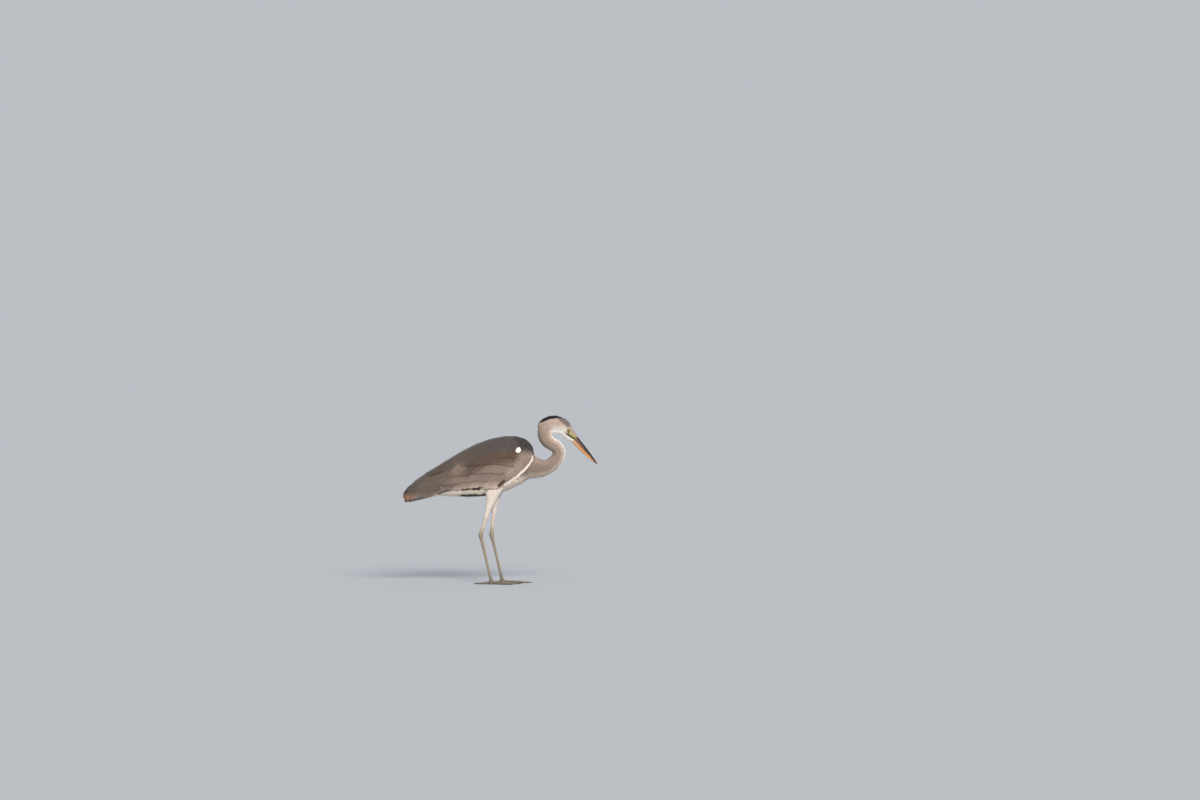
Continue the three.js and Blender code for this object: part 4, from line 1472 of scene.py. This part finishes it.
# ---- Scapulars ----
# Long soft feathers that run back from the shoulders over the folded wings, and over the middle of the back.
rng = np.random.default_rng(31)
scapulars = []
for turn in SIDES.values():
    for count, roots, tips, width, sunk in (
        (5, [(-60, 8), (-120, 6)], [(-186, 9), (-244, 8)], 28, 4.6),
        (5, [(-50, 30), (-110, 26)], [(-180, 26), (-236, 19)], 30, 4.4),
        (9, [(20, 9), (-100, 8)], [(-75, 9), (-205, 9)], 22, 4.2),
        (9, [(30, 26), (-90, 24)], [(-62, 27), (-190, 24)], 24, 4.0),
        (9, [(40, 42), (-75, 38)], [(-45, 44), (-165, 37)], 24, 3.8),
        (7, [(-20, 54), (-100, 47)], [(-92, 55), (-196, 40)], 26, 3.6),
    ):
        starts = on_top(evenly(roots, count) * (1, turn))
        ends = on_top(evenly(tips, count) * (1, turn))
        step = 0.05 * np.arange(count)
        widths = width * np.exp(rng.normal(0, 0.04, count))
        batch = lay(form, starts, ends, widths, LONG_VANE, 7, sunk, sunk * 0.25 - 1.4 - step, 0.5, 0.0, 1.2)
        scapulars.append(coloured(batch, rng, 0.05, np.full(count, "wing")))
coat("scapulars", scapulars, sleek, tiles=True)

# ---- Primaries and tail ----
# The tips of the primaries close over the stiff short tail, whose feathers lie side by side. Each set rests
# on a smooth trough that follows the bird's hind end and is carried on past it, so that the tips stand
# free.
PRIMARY_AXIS_MM = ((-180, 350), (-322, 286))
TAIL_AXIS_MM = ((-206, 293), (-322, 269))


def trough(axis, first_angle, last_angle, end, half_height=None):
    """A sheet round an axis, from one angle to another (0 is up), as it follows the form to the end in mm. It
    may be kept under a half height."""
    stations = np.arange(axis[0][0], axis[1][0] - 1, -4.0)
    angles = np.radians(np.linspace(first_angle, last_angle, 37))
    heights = np.interp(-stations, [-axis[0][0], -axis[1][0]], [axis[0][1], axis[1][1]])
    reach = np.zeros((len(stations), len(angles)))
    for i, (x, z) in enumerate(zip(stations, heights)):
        for j, angle in enumerate(angles):
            start = (max(x, end) * MM, 0, np.interp(-max(x, end), -stations, heights) * MM)
            hit = form.tree.ray_cast(start, (0, math.sin(angle), math.cos(angle)))
            reach[i, j] = hit[3] * (1 - 0.012 * max(0, end - x))
            if half_height:
                reach[i, j] = min(reach[i, j], half_height * MM / max(abs(math.cos(angle)), 0.05))
    evened_grid(reach, 5)
    x = np.broadcast_to(stations[:, None] * MM, reach.shape)
    grid = np.stack([x, reach * np.sin(angles), heights[:, None] * MM + reach * np.cos(angles)], 2)
    if half_height:
        grid[:, [0, -1]] = grid[:, [0, -1]].mean(1, keepdims=True)
    return sheet_through(grid, True), grid, stations, angles


def fan(sheet, kind, rng, count, first_angle, last_angle, root_x, tip_x, width, sunk, lift, spread):
    """Feathers side by side along a trough, the outermost on top."""
    surface, grid, stations, angles = sheet
    turns = np.radians(np.linspace(first_angle, last_angle, count))
    order = np.argsort(np.abs(turns - turns.mean()))
    turns = turns[order] + rng.normal(0, 0.02, count)
    ends = []
    tip_line = np.interp(np.abs(turns - turns.mean()), [0, np.ptp(turns) / 2], tip_x)
    for x in (np.full(count, float(root_x)), tip_line):
        row = np.interp(-(x + rng.normal(0, 0.8, count)), -stations, np.arange(len(stations)))
        column = np.interp(turns, angles, np.arange(len(angles)))
        low_row = np.minimum(row.astype(int), len(stations) - 2)
        low_column = np.minimum(column.astype(int), len(angles) - 2)
        a, b = (row - low_row)[:, None], (column - low_column)[:, None]
        near = (1 - b) * grid[low_row, low_column] + b * grid[low_row, low_column + 1]
        far = (1 - b) * grid[low_row + 1, low_column] + b * grid[low_row + 1, low_column + 1]
        ends.append((1 - a) * near + a * far)
    lifted = lift + 0.04 * np.arange(count)
    batch = lay(surface, ends[0], ends[1], np.full(count, width), LONG_VANE, 7, sunk, lifted, 0.4, 0.0, 1.2)
    return coloured(batch, rng, spread, np.full(count, kind))


# Each fan: how many feathers, first and last angle, x of the roots, x of the middle and outer tips, width,
# sunk root, lifted tip, and how much the feathers differ in tone.
PRIMARY_FANS_MM = [
    (7, -80, 80, -222, (-301, -304), 14.0, 5.0, -12.0, 0.08),
    (9, -96, 96, -222, (-303, -306), 14.0, 5.0, -9.0, 0.08),
    (13, -112, 112, -210, (-307, -311), 15.0, 5.0, -6.0, 0.08),
    (17, -122, 122, -200, (-311, -317), 17.0, 5.0, -3.6, 0.1),
    (18, -126, 126, -200, (-308, -316), 16.0, 4.5, -2.4, 0.1),
    (13, -80, 80, -196, (-294, -300), 16.0, 4.5, -1.6, 0.1),
    (10, -56, 56, -192, (-276, -284), 16.0, 4.0, -0.9, 0.1),
]
TAIL_FANS_MM = [
    (7, 30, 330, -240, (-303, -305), 16.0, 3.6, -8.2, 0.06),
    (11, 18, 342, -230, (-304, -308), 18.0, 3.6, -5.6, 0.06),
    (15, 14, 346, -226, (-306, -311), 18.0, 3.2, -2.8, 0.08),
    (16, 10, 350, -226, (-308, -313), 17.0, 2.8, -1.4, 0.08),
]
rng = np.random.default_rng(41)
upper = trough(PRIMARY_AXIS_MM, -132, 132, -309)
lower = trough(TAIL_AXIS_MM, 0, 360, -302, 9.5)
primaries = [fan(upper, "wing", rng, *row) for row in PRIMARY_FANS_MM]
coat("primaries", primaries, sleek, tiles=True)
under_tail = (triangle_kinds == "tail") & (triangle_x_mm > -274)
# The feathers on the hind end take that painted shade from the markings.
on_end = (triangle_normals[:, 0] < -0.5) & (triangle_x_mm < -292)
tail = [fan(lower, "tail", rng, *row) for row in TAIL_FANS_MM]
tail.append(tract(on_end, 4.2, 15.0, 8.0, BROAD_VANE, 5, 2.0, -0.6, 0.4, seed=43, stray=9.0))
tail.append(tract(under_tail, 6.0, 26.0, 10.0, BROAD_VANE, 5, 3.0, 0.0, 0.4, seed=42))
coat("tail_feathers", tail, sleek)

# ---- Crest ----
# Narrow glossy black plumes from the rear crown, which lie back along the head and end in a short loose
# point.
CREST_HALF_WIDTHS_MM = [8, 9, 8.5, 5, 0.8]
PLUMES = 260
crest_core = run_together(cast("crest_core", ["crest"], swell=-0.5 * MM), 0.6, 6)
crest_surface = Surface(points_of(crest_core), triangles_of(crest_core), 4)
rng = np.random.default_rng(51)
start_share = rng.uniform(-0.02, 0.7, PLUMES)
end_share = start_share + rng.uniform(0.22, 0.29, PLUMES)
lateral = rng.uniform(-1, 1, PLUMES)
knots, passed, _ = measured(CAP_MM)
passed /= passed[-1]


def over_crest(share):
    """Places just over the crest, at shares of its length."""
    x, z = at_stops(share, passed, knots).T
    half = np.interp(share, passed, CREST_HALF_WIDTHS_MM)
    above = np.sqrt(np.clip(1 - lateral**2, 0, 1)) * 4
    return np.stack([x, lateral * half, z + above], 1) * MM


starts = crest_surface.nearest(over_crest(start_share))[0]
ends = crest_surface.nearest(over_crest(end_share))[0]
free = np.clip(end_share - 0.9, 0, None)[:, None] * np.array([-30.0, 0.0, -10.0]) * MM
batch = lay(crest_surface, starts, ends + free, np.full(PLUMES, 2.6), SMALL_VANE, 3, 0.5, 0.35, 0.1)
plumes = coloured(batch, rng, 0.12, paint=CAP[None, None])
crest = coat("crest_feathers", [plumes], sleek)
bpy.data.objects.remove(crest_core)
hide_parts("crest")

# ---- Floor and light ----
# A plain pale floor without end, a wide soft light from in front and above, and an even pale room round it.
SUN_HEIGHT = math.radians(34)
SUN_TURN = math.radians(18)  # round from behind the viewer towards the bird's front
SUN_ENERGY = 3.1
ROOM_LIGHT = 0.6
ROOM_COLOUR = (0.88, 0.93, 1.0)
# The floor's paint makes it as bright as the room.
FLOOR_SHARE = 1 / (ROOM_LIGHT + SUN_ENERGY * math.sin(SUN_HEIGHT) / math.pi)

pick()
bpy.ops.mesh.primitive_plane_add(size=600, location=(0, 0, 0))
floor = bpy.context.active_object
floor.name = "floor"
floor_paint = Finish("floor_paint", Roughness=0.9, Specular_IOR_Level=0.2)
floor_paint.set(Base_Color=[ROOM_LIGHT * share * FLOOR_SHARE for share in ROOM_COLOUR] + [1])
floor.data.materials.append(floor_paint.material)

bpy.ops.object.light_add(type="SUN", rotation=(math.pi / 2 - SUN_HEIGHT, 0, SUN_TURN))
sun = bpy.context.active_object
sun.name = "soft_sun"
sun.data.angle = math.radians(24)
sun.data.energy = SUN_ENERGY
sun.data.color = (1.0, 0.93, 0.84)
world = bpy.data.worlds.new("room")
bpy.context.scene.world = world
world.use_nodes = True
world.node_tree.nodes["Background"].inputs["Color"].default_value = (*ROOM_COLOUR, 1)
world.node_tree.nodes["Background"].inputs["Strength"].default_value = ROOM_LIGHT
bpy.context.scene.view_settings.view_transform = "Standard"
